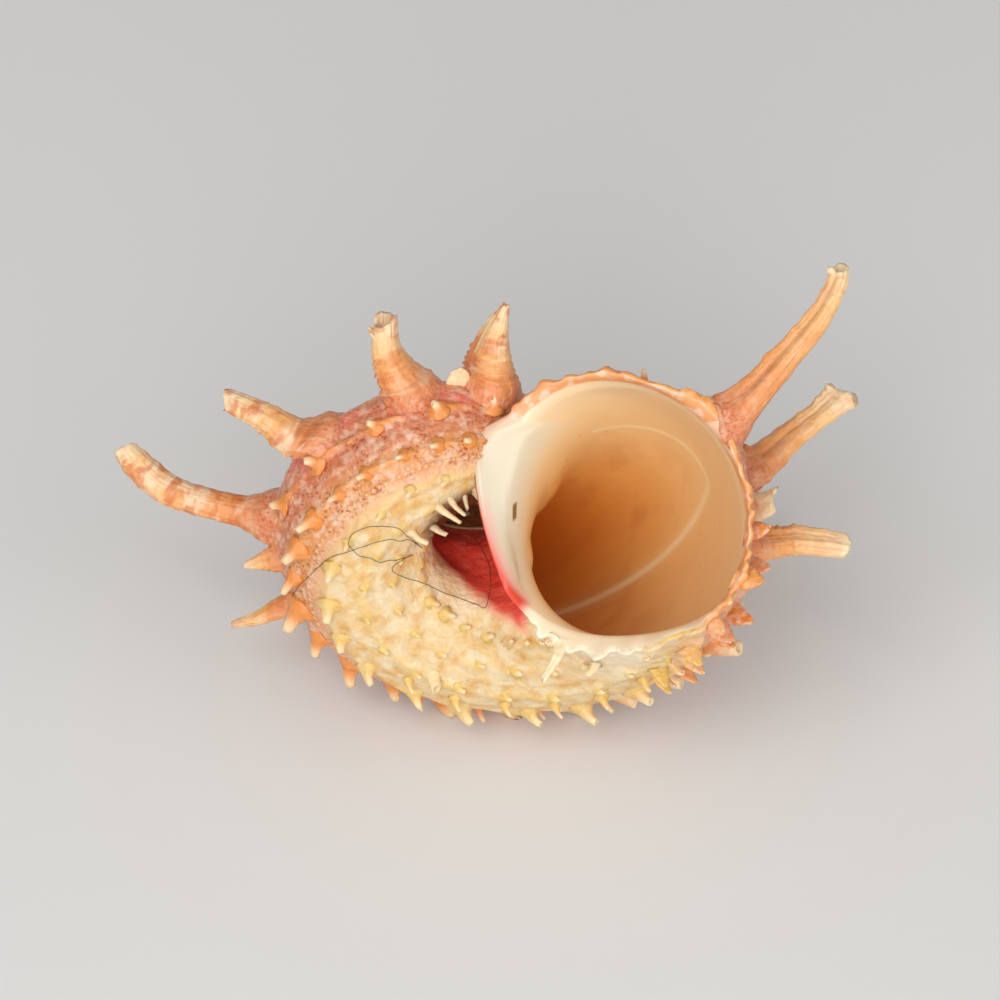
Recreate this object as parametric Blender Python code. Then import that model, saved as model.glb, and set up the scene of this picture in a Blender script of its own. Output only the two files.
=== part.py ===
"""Dolphin snail shell: one grown piece with a low spire, a wide round mouth, an open navel and spines.

The shell is worked out in a coil frame, in which the coil winds about the Z axis, the apex is near
the origin and the base looks up. The finished shell is then turned and set down on a level surface,
where it rests on the tips of the spines and scales of its back, with its mouth to the front.
"""
import math

import bmesh
import bpy
import numpy as np
from mathutils import Matrix, Vector

MM = 0.001

# ---- Driving dimensions: the coil -------------------------------------------------------------
WHORL_EXPANSION = 2.54          # how much every length grows in one full turn
AXIS_RADIUS = 19.0 * MM         # from the coil's axis to the middle of the mouth
AXIS_HEIGHT = 21.0 * MM         # from the apex down the axis to the middle of the mouth
TUBE_RADIUS = 13.7 * MM         # mean outer radius of the tube at the mouth
MOUTH_HEADING = 36.0            # degrees about the axis at which the mouth's middle stands
COILED_TURNS = 2.6              # turns of the tube that are modelled, from the mouth to the apex
LAST_DROP = 2.3 * MM            # how far the last quarter turn leaves the spiral towards the base
DROP_START = 0.9                # radians before the mouth at which that drop starts
APEX_BEAD = 1.5 * MM            # radius of the first shell, which closes the coil's axis

# The growth lines lean: they run ahead at the suture and lag at the base.
LINE_LEAN = (31.4, -126.0)      # degrees ahead, and the section angle where it is greatest
LINE_WAVE = (3.6, 84.0)         # the same for the double wave on top of it

# The lip lies nearly in a plane, so its ring is pushed along the mouth's own line of sight, in mm:
# all of it, then by single and double waves round the section with the angles of their crests.
LIP_PUSH = (-1.6, (2.15, 25.0), (3.44, 21.0))
LIP_PUSH_FROM = 100.0           # degrees before the mouth at which the push starts

# The tube's section, as parts of its radius. Section angles are 0 outwards, +90 at the base,
# 180 at the axis and -90 at the spire.
SHOULDER = (0.06, -31.0, 16.0)  # the keel at the shoulder: height, angle and half width
SECTION_OVAL = (-0.082, 9.0)    # flattening and its angle
NAVEL_RIM = (0.17, 152.0, 26.0) # the corner at which the base turns into the navel
RAMP = (-0.14, -80.0, 27.0)     # how much flatter the slope from shoulder to suture is
FADES = (-60.0, 0.0)            # turn angles between which rim and ramp die out at the round mouth

# ---- Driving dimensions: wall, lip and navel --------------------------------------------------
LIP_WALL = 1.2 * MM             # wall of the tube at the mouth
COLUMELLA_WALL = (1.7 * MM, 172.0, 42.0)    # what the inner lip is thicker by, angle, half width
BASE_LIP_WALL = (0.9 * MM, 95.0, 40.0)      # the same for the lip's base side
CALLUS = 0.7 * MM               # glaze over the older whorl inside the mouth
CAVITY_REACH = 400.0            # degrees of coil that are hollow behind the mouth

# ---- Driving dimensions: how the shell lies ---------------------------------------------------
AXIS_TILT = 56.0                # degrees from the coil's axis to the line of sight into the mouth
SIDE_ROLL = 8.7                 # degrees of roll about that line
LAID_BACK = 42.0                # degrees from that line to straight up
COIL_PLACE = Vector((-4.24, 12.24, 25.3)) * MM    # where the coil frame's origin lies

# ---- Spines: (turn angle, section angle, root and tip radius in mm, path) ---------------------
# A path's points are (outwards, onwards along the growth, towards the spire) from the root, in mm.
LONG_SPINES = (
    (-5, -30, 2.4, 1.0, ((4.3, 1.9, 0.3), (8.3, 2.3, 2.4), (12.9, 2.9, 4.9), (15.9, 3.8, 7.3),
                         (16.7, 4.5, 8.6))),
    (-28, -30, 2.0, 1.2, ((2.6, 0.1, 0.6), (5.4, 0.8, 2.2), (8.8, 1.6, 3.9), (11.7, 2.4, 5.5))),
    (-72, -30, 2.4, 1.1, ((4.5, -0.4, 1.4), (9.0, -0.2, 4.0), (13.5, 0.2, 7.0), (18.0, 0.6, 9.0))),
    (-116, -30, 2.2, 1.4, ((2.4, 0.0, 0.7), (4.4, 0.2, 1.8))),
    (-160, -30, 2.2, 1.1, ((3.5, -0.4, 0.8), (7.0, -0.1, 2.5), (10.0, 0.4, 4.4))),
    (-205, -28, 2.1, 1.2, ((3.1, -0.7, 0.8), (6.9, -1.7, 2.2), (10.1, -2.8, 3.7), (12.6, -4.5, 6.2),
                           (13.6, -5.6, 7.8))),
    (-252, -32, 2.3, 1.3, ((1.8, 1.9, 0.0), (4.5, 2.8, 2.1), (7.4, 4.2, 4.0))),
    (-294, -36, 2.6, 1.3, ((2.0, 1.0, 1.0), (4.2, 1.2, 2.4), (6.6, 0.4, 4.1))),
    (-328, -33, 2.4, 0.5, ((1.3, 0.8, 1.4), (3.8, 1.2, 2.8), (7.5, 1.0, 4.5))),
    (-22, -2, 1.7, 1.1, ((2.3, -0.2, -0.4), (5.5, -0.2, -0.5), (10.1, -0.8, -1.4))),
    (-161, -2, 1.7, 0.4, ((2.3, -1.0, 0.2), (5.0, -1.8, -0.1), (7.6, -2.8, 0.0))),
    (-185, -4, 1.4, 0.4, ((1.6, 0.0, 0.0), (3.7, 0.0, 0.0))),
)

# ---- Rows of scales: (section angle, first turn angle, spacing, last turn angle, reach in mm) -
# The reach is the one at the mouth; older scales are smaller, as the whole coil is.
SCALE_ROWS = (
    (-85, -40, 32, -360, 1.6),
    (-62, -14, 22, -360, 1.6),
    (-30, -366, 38, -720, 6.0),
    (-3, -60, 25, -350, 3.2),
    (35, -17, 15, -340, 3.0),
    (70, -18, 19, -330, 2.2),
    (94, -12, 21, -250, 2.0),
    (115, -20, 23, -200, 2.0),
    (136, -4, 21, -190, 2.6),
)
BROKEN_SCALE = (-10, -4, 2.4)   # turn angle, section angle and reach of the stub beside the lip
REAR_TURNS = (-132.0, -62.0)    # turn angles between which the scales of the back stay long
REAR_REACH = 1.66               # how many times longer those are
SCALE_SIDES = 4
SCALE_ROOT = 0.42               # root radius of a scale, as a part of its reach
SCALE_TIP = 0.35                # tip radius, as a part of the root's
SCALE_PITCH = 35.0              # degrees that a scale leans towards the mouth
ROOT_DEPTH = 0.5 * MM           # how deep a scale is rooted in the wall
SPINE_DEPTH = 1.3 * MM          # the same for a spine, on the thicker keel
BURIED_SHARE = 0.65             # radius of a spine's buried end, as a part of its root's
TABLE_SIZE = 150.0 * MM         # the block below the level surface, which wears the feet flat

# ---- Fineness ---------------------------------------------------------------------------------
RING_STEPS = ((0.0, 12.0), (-360.0, 18.0), (-720.0, 30.0))  # turn angle from which a step is used
# Section angles of the rings: the crests of the spiral cords, and the furrows between them.
CORD_ANGLES = (-85, -62, -30, -3, 16, 35, 52, 70, 94, 115, 136)
FURROW_ANGLES = (-74, -46, -16, 7, 26, 44, 61, 82, 104, 125, 150, 165, 180, -160, -138, -120,
                 -102)
CORD_HEIGHT = 0.035             # as a part of the tube's radius
CORD_WIDTH = 4.0                # half width in degrees of section
CAVITY_SIDES = 20
CAVITY_STEP = 16.0              # degrees of coil between two rings of the hollow

SHELL_COLOUR = (0.80, 0.36, 0.19, 1.0)


def wrap(angle):
    """Bring an angle in radians between -pi and pi."""
    return (angle + math.pi) % (2.0 * math.pi) - math.pi


def bump(section, centre, width):
    """A smooth rise of height 1 at a section angle, with a half width; both in degrees."""
    return np.exp(-(wrap(section - math.radians(centre)) / math.radians(width)) ** 2)


def coil_angle(turn, section):
    """The coil angle of a point: its growth line's turn angle, plus that line's lean there."""
    lean = math.radians(LINE_LEAN[0]) * np.cos(section - math.radians(LINE_LEAN[1]))
    wave = math.radians(LINE_WAVE[0]) * np.cos(2.0 * (section - math.radians(LINE_WAVE[1])))
    return turn + lean + wave


def smooth_radius(turn, section, rimmed=True):
    """The radius without its cords: an oval, flat on the ramp, with a corner at the navel."""
    oval, oval_angle = SECTION_OVAL
    shape = 1.0 + oval * np.cos(2.0 * (section - math.radians(oval_angle)))
    full, gone = np.radians(FADES)
    amount = np.clip((gone - turn) / (gone - full), 0.0, 1.0)
    for height, angle, width in (RAMP, NAVEL_RIM) if rimmed else (RAMP,):
        shape = shape + amount * height * bump(section, angle, width)
    return TUBE_RADIUS * shape


def tube_radius(turn, section):
    """The tube's outer radius, at the mouth's size, with the shoulder's keel and the cords."""
    height, angle, width = SHOULDER
    cords = sum(bump(section, at, CORD_WIDTH) for at in CORD_ANGLES)
    ridges = height * bump(section, angle, width) + CORD_HEIGHT * (cords - 0.5)
    return smooth_radius(turn, section) + TUBE_RADIUS * ridges


def place(turn, section, radius):
    """Points of the coil: the section's circle grows, widens and climbs by the same law."""
    angle = coil_angle(turn, section)
    growth = np.exp(math.log(WHORL_EXPANSION) / (2.0 * math.pi) * angle)
    drop = LAST_DROP * np.clip((angle + DROP_START) / DROP_START, 0.0, 1.5) ** 2
    out = (AXIS_RADIUS + radius * np.cos(section)) * growth
    along = (AXIS_HEIGHT + radius * np.sin(section)) * growth + drop
    heading = angle + math.radians(MOUTH_HEADING)
    points = np.stack([out * np.cos(heading), out * np.sin(heading), along], axis=-1)
    base, (once, once_at), (twice, twice_at) = LIP_PUSH
    push = base + once * np.cos(section - math.radians(once_at))
    push = push + twice * np.cos(2.0 * (section - math.radians(twice_at)))
    push = push * MM * np.clip(1.0 + turn / math.radians(LIP_PUSH_FROM), 0.0, 1.2) ** 2
    tilt = math.radians(AXIS_TILT)
    return points + push[..., None] * np.array((0.0, math.sin(tilt), math.cos(tilt)))


def older_whorl_distance(section):
    """How far a ray from the tube's middle goes before it meets the whorl inside this one."""
    steps = np.linspace(0.0, TUBE_RADIUS, 200)[:, None]
    out = AXIS_RADIUS + steps * np.cos(section)
    along = AXIS_HEIGHT + steps * np.sin(section)
    out = out - AXIS_RADIUS / WHORL_EXPANSION
    along = along - AXIS_HEIGHT / WHORL_EXPANSION
    older = tube_radius(-math.tau, np.arctan2(along, out)) / WHORL_EXPANSION + CALLUS
    blocked = np.hypot(out, along) < older
    first = np.where(blocked.any(axis=0), blocked.argmax(axis=0), len(steps) - 1)
    return steps[first, 0]


def hollow_radius(turn, section):
    """The hollow's radius: the smooth tube less its wall, and no further than the older whorl."""
    wall = LIP_WALL
    for extra, angle, width in (COLUMELLA_WALL, BASE_LIP_WALL):
        wall = wall + extra * bump(section, angle, width)
    free = smooth_radius(turn, section, rimmed=False) - wall
    return np.minimum(free, older_whorl_distance(section[0]))


def loft(name, rings):
    """A closed mesh object through an array of rings, each end closed by a fan."""
    count, sides = rings.shape[:2]
    points = rings.reshape(-1, 3).tolist()
    points.append(rings[0].mean(axis=0).tolist())
    points.append(rings[-1].mean(axis=0).tolist())
    faces = []
    for ring in range(count - 1):
        for side in range(sides):
            after = (side + 1) % sides
            low = ring * sides
            high = low + sides
            faces.append((low + side, low + after, high + after, high + side))
    last = (count - 1) * sides
    for side in range(sides):
        after = (side + 1) % sides
        faces.append((after, side, count * sides))
        faces.append((last + side, last + after, count * sides + 1))
    mesh = bpy.data.meshes.new(name)
    mesh.from_pydata(points, [], faces)
    work = bmesh.new()
    work.from_mesh(mesh)
    bmesh.ops.recalc_face_normals(work, faces=work.faces[:])
    bmesh.ops.triangulate(work, faces=work.faces[:])
    work.to_mesh(mesh)
    work.free()
    return bpy.data.objects.new(name, mesh)


def ring_turns():
    """The turn angles of the tube's rings, from the oldest to the mouth, in radians."""
    turns = []
    angle = 0.0
    while angle > -360.0 * COILED_TURNS:
        turns.append(math.radians(angle))
        angle -= [step for start, step in RING_STEPS if angle <= start][-1]
    return np.array(turns[::-1])


def make_tube():
    """The coiled tube, solid, with its spiral cords."""
    section = np.radians(np.sort(np.array(CORD_ANGLES + FURROW_ANGLES, dtype=float)))
    turns, sections = np.meshgrid(ring_turns(), section, indexing="ij")
    return loft("shell", place(turns, sections, tube_radius(turns, sections)))


def make_hollow():
    """The cutter for the hollow, from past the lip to deep inside the coil."""
    section = np.linspace(-math.pi, math.pi, CAVITY_SIDES, endpoint=False)
    turn = np.radians(np.arange(CAVITY_STEP, -CAVITY_REACH, -CAVITY_STEP))
    turns, sections = np.meshgrid(turn, section, indexing="ij")
    return loft("hollow", place(turns, sections, hollow_radius(turns, sections)))


def axes_at(turn, section):
    """A point of the outer surface, and the directions outwards, onwards and to the spire."""
    turn = np.radians(turn)
    section = np.radians(section)
    point = place(turn, section, tube_radius(turn, section))
    heading = math.atan2(point[1], point[0])
    outwards = Vector((math.cos(heading), math.sin(heading), 0.0))
    onwards = Vector((-math.sin(heading), math.cos(heading), 0.0))
    return Vector(point), outwards, onwards, Vector((0.0, 0.0, -1.0))


def make_spine(number, turn, section, root, tip, path):
    """A long spine: a curve with a bevel that thins towards the tip, made a closed mesh."""
    point, outwards, onwards, spirewards = axes_at(turn, section)
    curve = bpy.data.curves.new("spine_%02d" % number, "CURVE")
    curve.dimensions = "3D"
    curve.bevel_depth = MM
    curve.bevel_resolution = 2
    curve.use_fill_caps = True
    line = curve.splines.new("POLY")
    stations = [point]
    for out, on, up in path:
        stations.append(point + (outwards * out + onwards * on + spirewards * up) * MM)
    inwards = outwards + (stations[1] - point).normalized()
    stations.insert(0, point - inwards.normalized() * SPINE_DEPTH)
    line.points.add(len(stations) - 1)
    for place_in_line, (knot, station) in enumerate(zip(line.points, stations)):
        share = max(0, place_in_line - 1) / (len(stations) - 2)
        knot.co = (*station, 1.0)
        knot.radius = tip + (root - tip) * (1.0 - share) ** 2
        if place_in_line == 0:
            knot.radius *= BURIED_SHARE
    holder = bpy.data.objects.new(curve.name, curve)
    bpy.context.scene.collection.objects.link(holder)
    depsgraph = bpy.context.evaluated_depsgraph_get()
    mesh = bpy.data.meshes.new_from_object(holder.evaluated_get(depsgraph))
    bpy.data.objects.remove(holder)
    work = bmesh.new()
    work.from_mesh(mesh)
    bmesh.ops.remove_doubles(work, verts=work.verts[:], dist=0.01 * MM)
    bmesh.ops.recalc_face_normals(work, faces=work.faces[:])
    work.to_mesh(mesh)
    work.free()
    return bpy.data.objects.new(mesh.name, mesh)


def scale_list():
    """Every scale as (turn angle, section angle, reach in mm)."""
    scales = [BROKEN_SCALE]
    spines = [(turn, section) for turn, section, *rest in LONG_SPINES]
    for section, first, spacing, last, reach in SCALE_ROWS:
        for turn in range(first, last, -spacing):
            if any(abs(turn - at) < 12 and abs(section - side) < 12 for at, side in spines):
                continue
            growth = WHORL_EXPANSION ** (turn / 360.0)
            rear = REAR_REACH if REAR_TURNS[0] < turn < REAR_TURNS[1] and 0 < section < 50 else 1.0
            scales.append((turn, section, reach * growth * rear))
    return scales


def make_scales():
    """All the scales as cones in one mesh: each leans from the wall towards the mouth."""
    work = bmesh.new()
    for turn, section, reach in scale_list():
        point, outwards, onwards, spirewards = axes_at(turn, section)
        side = math.radians(section)
        normal = (outwards * math.cos(side) - spirewards * math.sin(side)).normalized()
        lean = math.radians(SCALE_PITCH)
        rise = (normal * math.cos(lean) + onwards * math.sin(lean)).normalized()
        root = SCALE_ROOT * reach * MM
        height = reach * MM + ROOT_DEPTH
        turned = rise.to_track_quat("Z", "Y").to_matrix().to_4x4()
        middle = Matrix.Translation(point + rise * (height / 2.0 - ROOT_DEPTH))
        bmesh.ops.create_cone(work, cap_ends=True, segments=SCALE_SIDES, radius1=root,
                              radius2=root * SCALE_TIP, depth=height, matrix=middle @ turned)
    mesh = bpy.data.meshes.new("scales")
    work.to_mesh(mesh)
    work.free()
    return bpy.data.objects.new("scales", mesh)


def make_apex():
    """The first shell: a small ball that closes the coil's axis at the top of the spire."""
    work = bmesh.new()
    growth = WHORL_EXPANSION ** -COILED_TURNS
    middle = Matrix.Translation((0.0, 0.0, AXIS_HEIGHT * growth))
    bmesh.ops.create_icosphere(work, subdivisions=2, radius=APEX_BEAD, matrix=middle)
    mesh = bpy.data.meshes.new("apex")
    work.to_mesh(mesh)
    work.free()
    return bpy.data.objects.new("apex", mesh)


def make_table():
    """A block whose top is the level surface: the tips that stand on it are worn flat by it."""
    work = bmesh.new()
    bmesh.ops.create_cube(work, size=TABLE_SIZE)
    bmesh.ops.translate(work, verts=work.verts[:], vec=(0.0, 0.0, -TABLE_SIZE / 2.0))
    mesh = bpy.data.meshes.new("table")
    work.to_mesh(mesh)
    work.free()
    return bpy.data.objects.new("table", mesh)


def as_cutter(thing, collection):
    """Keep an object for a Boolean only."""
    thing.hide_render = True
    thing.display_type = "WIRE"
    collection.objects.link(thing)


def boolean(thing, other, operation, crossings=False):
    """Join or cut by another object. With crossings, a mesh that crosses itself is resolved too."""
    step = thing.modifiers.new(other.name, "BOOLEAN")
    step.operation = operation
    step.solver = "EXACT"
    step.use_self = crossings
    step.object = other


def shell_material():
    """Nacreous calcium carbonate, salmon pink outside."""
    material = bpy.data.materials.new("shell")
    material.use_nodes = True
    surface = material.node_tree.nodes["Principled BSDF"]
    surface.inputs["Base Color"].default_value = SHELL_COLOUR
    surface.inputs["Roughness"].default_value = 0.45
    surface.inputs["Metallic"].default_value = 0.0
    return material


def main():
    """Build the shell and lay it down."""
    for thing in list(bpy.data.objects):
        bpy.data.objects.remove(thing)
    parts = bpy.data.collections.new("dolphin_snail_shell")
    cutters = bpy.data.collections.new("cutters")
    bpy.context.scene.collection.children.link(parts)
    bpy.context.scene.collection.children.link(cutters)

    lie = Matrix.Rotation(math.radians(LAID_BACK), 4, "X")
    roll = Matrix.Rotation(math.radians(SIDE_ROLL), 4, "Z")
    tilt = Matrix.Rotation(math.radians(AXIS_TILT), 4, "X")
    laid = Matrix.Translation(COIL_PLACE) @ lie @ roll @ tilt

    shell = make_tube()
    shell.data.materials.append(shell_material())
    parts.objects.link(shell)
    hollow = make_hollow()
    as_cutter(hollow, cutters)
    boolean(shell, hollow, "DIFFERENCE", crossings=True)
    scales = make_scales()
    spines = [make_spine(number, *spine) for number, spine in enumerate(LONG_SPINES, 1)]
    for joined in spines + [make_apex(), scales]:
        as_cutter(joined, cutters)
        boolean(shell, joined, "UNION", crossings=joined is scales)
        joined.matrix_world = laid
    hollow.matrix_world = laid
    shell.matrix_world = laid
    table = make_table()
    as_cutter(table, cutters)
    boolean(shell, table, "DIFFERENCE")
    bpy.context.view_layer.update()


main()
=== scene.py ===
# %% [markdown]
# # A dolphin snail shell
# A sea snail builds its shell by adding material along one edge, the lip, while it turns about an
# axis. Every length grows by the same share in each turn, so the whole shell is one tube that is
# wound up and widens. This scene draws that tube finely, with its keel, cords, spines and glaze,
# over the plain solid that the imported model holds.

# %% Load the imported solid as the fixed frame
import math

import bpy
import numpy as np
from mathutils import Matrix, Vector


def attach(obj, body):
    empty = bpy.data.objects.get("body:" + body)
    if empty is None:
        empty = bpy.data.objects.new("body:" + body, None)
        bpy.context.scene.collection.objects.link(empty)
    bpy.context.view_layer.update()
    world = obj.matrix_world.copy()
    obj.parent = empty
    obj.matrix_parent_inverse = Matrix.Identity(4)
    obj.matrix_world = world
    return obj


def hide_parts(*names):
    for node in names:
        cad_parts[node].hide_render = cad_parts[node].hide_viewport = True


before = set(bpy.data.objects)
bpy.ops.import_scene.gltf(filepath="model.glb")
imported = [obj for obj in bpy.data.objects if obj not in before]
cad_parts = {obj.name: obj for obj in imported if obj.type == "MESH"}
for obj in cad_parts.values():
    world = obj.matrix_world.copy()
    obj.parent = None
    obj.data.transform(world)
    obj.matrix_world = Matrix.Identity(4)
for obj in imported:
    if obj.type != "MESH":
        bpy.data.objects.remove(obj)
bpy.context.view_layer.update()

# %% [markdown]
# ## The law of growth
# In the coil's own frame the axis is Z, the apex is near the origin and the base looks up. A point
# of the shell has a turn angle (0 at the lip, negative for older shell) and a section angle round
# the tube (0 outwards, 90 at the base, 180 at the axis, -90 at the spire). A tube swept along a
# helix would give the same outline, but nothing on it would know its own age. Working in these two
# numbers makes every rib and colour band follow the real growth lines.

# %% Sizes of the coil: lengths in metres, angles in degrees
MM = 0.001
WHORL_EXPANSION = 2.54                # how many times every length grows in one turn
AXIS_RADIUS = 19.0 * MM               # from the axis to the tube's middle, at the mouth
AXIS_HEIGHT = 21.0 * MM               # from the apex to the tube's middle, along the axis
TUBE_RADIUS = 13.7 * MM               # from the tube's middle to its wall, at the mouth
MOUTH_HEADING = 36.0                  # where the mouth stands round the axis
# The last stretch of the tube sinks away from the spire: how far, from how many radians before the
# lip, and how far past the lip that law is followed.
LAST_DROP, DROP_START, DROP_LIMIT = 2.3 * MM, 0.9, 1.5
# A growth line leans as it goes round the tube: one wave and one double wave, as (lean, section).
LINE_LEAN, LINE_WAVE = (31.4, -126.0), (3.6, 84.0)
# The lip is pushed out of its plane: in mm everywhere, then one wave and one double wave as (mm,
# section), fading over so many degrees of turn and followed a little past the lip.
LIP_PUSH, PUSH_FROM, PUSH_LIMIT = (-1.6, (2.15, 25.0), (3.44, 21.0)), 100.0, 1.2
# The smooth tube's section: an oval as (share, section); a corner at the navel and a flat ramp at
# the spire as (share, section, half width); the turns at which both are full and gone.
SECTION_OVAL = (-0.082, 9.0)
NAVEL_RIM, RAMP, FADES = (0.17, 152.0, 26.0), (-0.14, -80.0, 27.0), (-60.0, 0.0)
KEEL = (0.06, -31.0, 16.0)            # the shoulder's ridge, as (share, section, half width)
# How the shell lies: tilted from its axis, rolled to the side, laid back, and moved.
AXIS_TILT, SIDE_ROLL, LAID_BACK = 56.0, 8.7, 42.0
COIL_PLACE = Vector((-4.24, 12.24, 25.3)) * MM
print("one turn grows", WHORL_EXPANSION, "times; the mouth is", 2 * TUBE_RADIUS / MM, "mm wide")

# %% Three small shapes of number that everything below is made from


def wrap(angle):
    """Bring angles in radians between -pi and pi."""
    return (angle + math.pi) % math.tau - math.pi


def bump(angle, centre, width):
    """A rise of height 1 round a centre: exp(-(distance / half width) squared), both in degrees."""
    return np.exp(-(wrap(angle - math.radians(centre)) / math.radians(width)) ** 2)


def step(low, high, value):
    """0 below low, 1 above high, and between them the smooth S of 3 s squared less 2 s cubed."""
    share = np.clip((value - low) / (high - low), 0.0, 1.0)
    return share * share * (3.0 - 2.0 * share)


def degrees_step(low, high, value):
    """A smooth step over an angle in radians, with its two ends given in degrees."""
    return step(math.radians(low), math.radians(high), value)


print("a quarter of the way up, a smooth step is", step(0.0, 1.0, 0.25), "high")

# %% From turn and section to a point of the coil


def lean(section):
    """How far a growth line runs ahead at a section angle: one wave and a smaller double wave."""
    once = math.radians(LINE_LEAN[0]) * np.cos(section - math.radians(LINE_LEAN[1]))
    twice = math.radians(LINE_WAVE[0]) * np.cos(2.0 * (section - math.radians(LINE_WAVE[1])))
    return once + twice


def growth(coil_angle):
    """The size of the coil at a coil angle, as a part of its size at angle 0: an exponential."""
    return np.exp(math.log(WHORL_EXPANSION) / math.tau * coil_angle)


def sunk(coil_angle):
    """How far the last stretch has sunk: the square of the share of that stretch, times the drop."""
    return LAST_DROP * np.clip((coil_angle + DROP_START) / DROP_START, 0.0, DROP_LIMIT) ** 2


def pushed(turn, section):
    """How far the lip is pushed: a constant, a wave and a double wave, fading as a square."""
    base, (once, once_at), (twice, twice_at) = LIP_PUSH
    push = base + once * np.cos(section - math.radians(once_at))
    push = push + twice * np.cos(2.0 * (section - math.radians(twice_at)))
    return push * MM * np.clip(1.0 + turn / math.radians(PUSH_FROM), 0.0, PUSH_LIMIT) ** 2


def place(turn, section, radius):
    """Coil frame points: the tube's middle plus the radius round it, scaled by growth and turned."""
    angle = turn + lean(section)
    size = growth(angle)
    out = (AXIS_RADIUS + radius * np.cos(section)) * size
    along = (AXIS_HEIGHT + radius * np.sin(section)) * size + sunk(angle)
    heading = angle + math.radians(MOUTH_HEADING)
    points = np.stack([out * np.cos(heading), out * np.sin(heading), along], axis=-1)
    tilt = math.radians(AXIS_TILT)
    return points + pushed(turn, section)[..., None] * np.array((0.0, math.sin(tilt), math.cos(tilt)))


def locate(points, angle):
    """The reverse of place: each point's coil angle near a given one, and how far it stands out
    from the tube's middle and along the axis."""
    heading = np.arctan2(points[..., 1], points[..., 0]) - math.radians(MOUTH_HEADING)
    here = angle + wrap(heading - angle)
    size = growth(here)
    out = np.hypot(points[..., 0], points[..., 1]) - AXIS_RADIUS * size
    return here, out, points[..., 2] - sunk(here) - AXIS_HEIGHT * size


print("the lip's outer edge is", round(np.hypot(*place(0.0, 0.0, TUBE_RADIUS)[:2]) / MM, 1),
      "mm from the axis")

# %% Where the shell lies
LIE = Matrix.Rotation(math.radians(LAID_BACK), 4, "X")
LAID = (Matrix.Translation(COIL_PLACE) @ LIE @ Matrix.Rotation(math.radians(SIDE_ROLL), 4, "Z")
        @ Matrix.Rotation(math.radians(AXIS_TILT), 4, "X"))


def lay(points):
    """Move an array of coil frame points to where the shell lies: turned, then moved."""
    turned = np.array(LAID.to_3x3())
    return points @ turned.T + np.array(LAID.translation)


print("the apex lies at", [round(v / MM, 1) for v in LAID.translation], "mm")

# %% [markdown]
# ## The camera, the lights and the floor
# The shell is seen as through a long lens from far away, along the direction in which its mouth
# lies open. A short lens close up would swell the near spines. A large soft light stands high on
# the left, a weaker one on the right and a low one in front, over a pale floor: the plain studio
# look in which glaze and chalky crust both read.

# %% Colours and nodes


def rgb(code):
    """An sRGB hex colour as linear red, green, blue and alpha, as Blender's sockets want it."""
    parts = [int(code[digit:digit + 2], 16) / 255.0 for digit in (1, 3, 5)]
    return (*(v / 12.92 if v <= 0.04045 else ((v + 0.055) / 1.055) ** 2.4 for v in parts), 1.0)


def add(tree, kind, inputs=(), stops=(), **settings):
    """Add a node: settings are attributes, inputs maps sockets to values or sockets to link, and
    stops are the places and hex colours of a ramp."""
    node = tree.nodes.new(kind)
    for name, value in settings.items():
        setattr(node, name, value)
    if stops:
        band = node.color_ramp.elements
        for element, (at, code) in zip(band, (stops[0], stops[-1])):
            element.position, element.color = at, rgb(code)
        for at, code in stops[1:-1]:
            band.new(at).color = rgb(code)
    for socket, value in dict(inputs).items():
        if isinstance(value, bpy.types.NodeSocket):
            tree.links.new(value, node.inputs[socket])
        else:
            node.inputs[socket].default_value = value
    return node


print("middle grey in linear light:", round(rgb("#808080")[0], 3))

# %% Camera
CAMERA_FAR, FRAME_WIDTH = 0.9, 0.1    # metres: how far away it stands and how much it sees there
SENSOR_WIDTH = 36.0                   # mm, as a new camera has it
AIM_HEIGHT, AIM_SHIFT = 20.0 * MM, Vector((3.4, 7.7, 0.0)) * MM
aim = LAID @ Vector((0.0, 0.0, AIM_HEIGHT)) + LIE @ AIM_SHIFT
camera = bpy.data.objects.new("camera", bpy.data.cameras.new("camera"))
camera.matrix_world = Matrix.Translation(aim) @ LIE @ Matrix.Translation((0.0, 0.0, CAMERA_FAR))
camera.data.lens = SENSOR_WIDTH * CAMERA_FAR / FRAME_WIDTH
bpy.context.scene.collection.objects.link(camera)
bpy.context.scene.camera = camera
print("camera looks down at", 90 - LAID_BACK, "degrees")

# %% Lights
LAMPS = (("key", (-0.22, -0.30, 0.50), 0.40, 1.6), ("fill", (0.45, -0.30, 0.35), 0.50, 1.0),
         ("front", (-0.05, -0.62, 0.28), 0.50, 1.8))    # name, place, size in metres, watts
ROOM_LIGHT = 0.43                     # the even light that comes from all around


def lamp(name, spot, size, power):
    """A square soft light that looks at the shell."""
    light = bpy.data.objects.new(name, bpy.data.lights.new(name, "AREA"))
    light.data.size, light.data.energy = size, power
    spot = Vector(spot)
    light.matrix_world = (Matrix.Translation(spot)
                          @ (spot - aim).to_track_quat("Z", "Y").to_matrix().to_4x4())
    bpy.context.scene.collection.objects.link(light)


for name, spot, size, power in LAMPS:
    lamp(name, spot, size, power)
world = bpy.data.worlds.new("soft room")
bpy.context.scene.world = world
world.use_nodes = True
world.node_tree.nodes["Background"].inputs["Color"].default_value = rgb("#f3f3f5")
world.node_tree.nodes["Background"].inputs["Strength"].default_value = ROOM_LIGHT
bpy.context.scene.view_settings.view_transform = "Standard"
print(len(LAMPS), "lights and a soft room of strength", ROOM_LIGHT)

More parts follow.
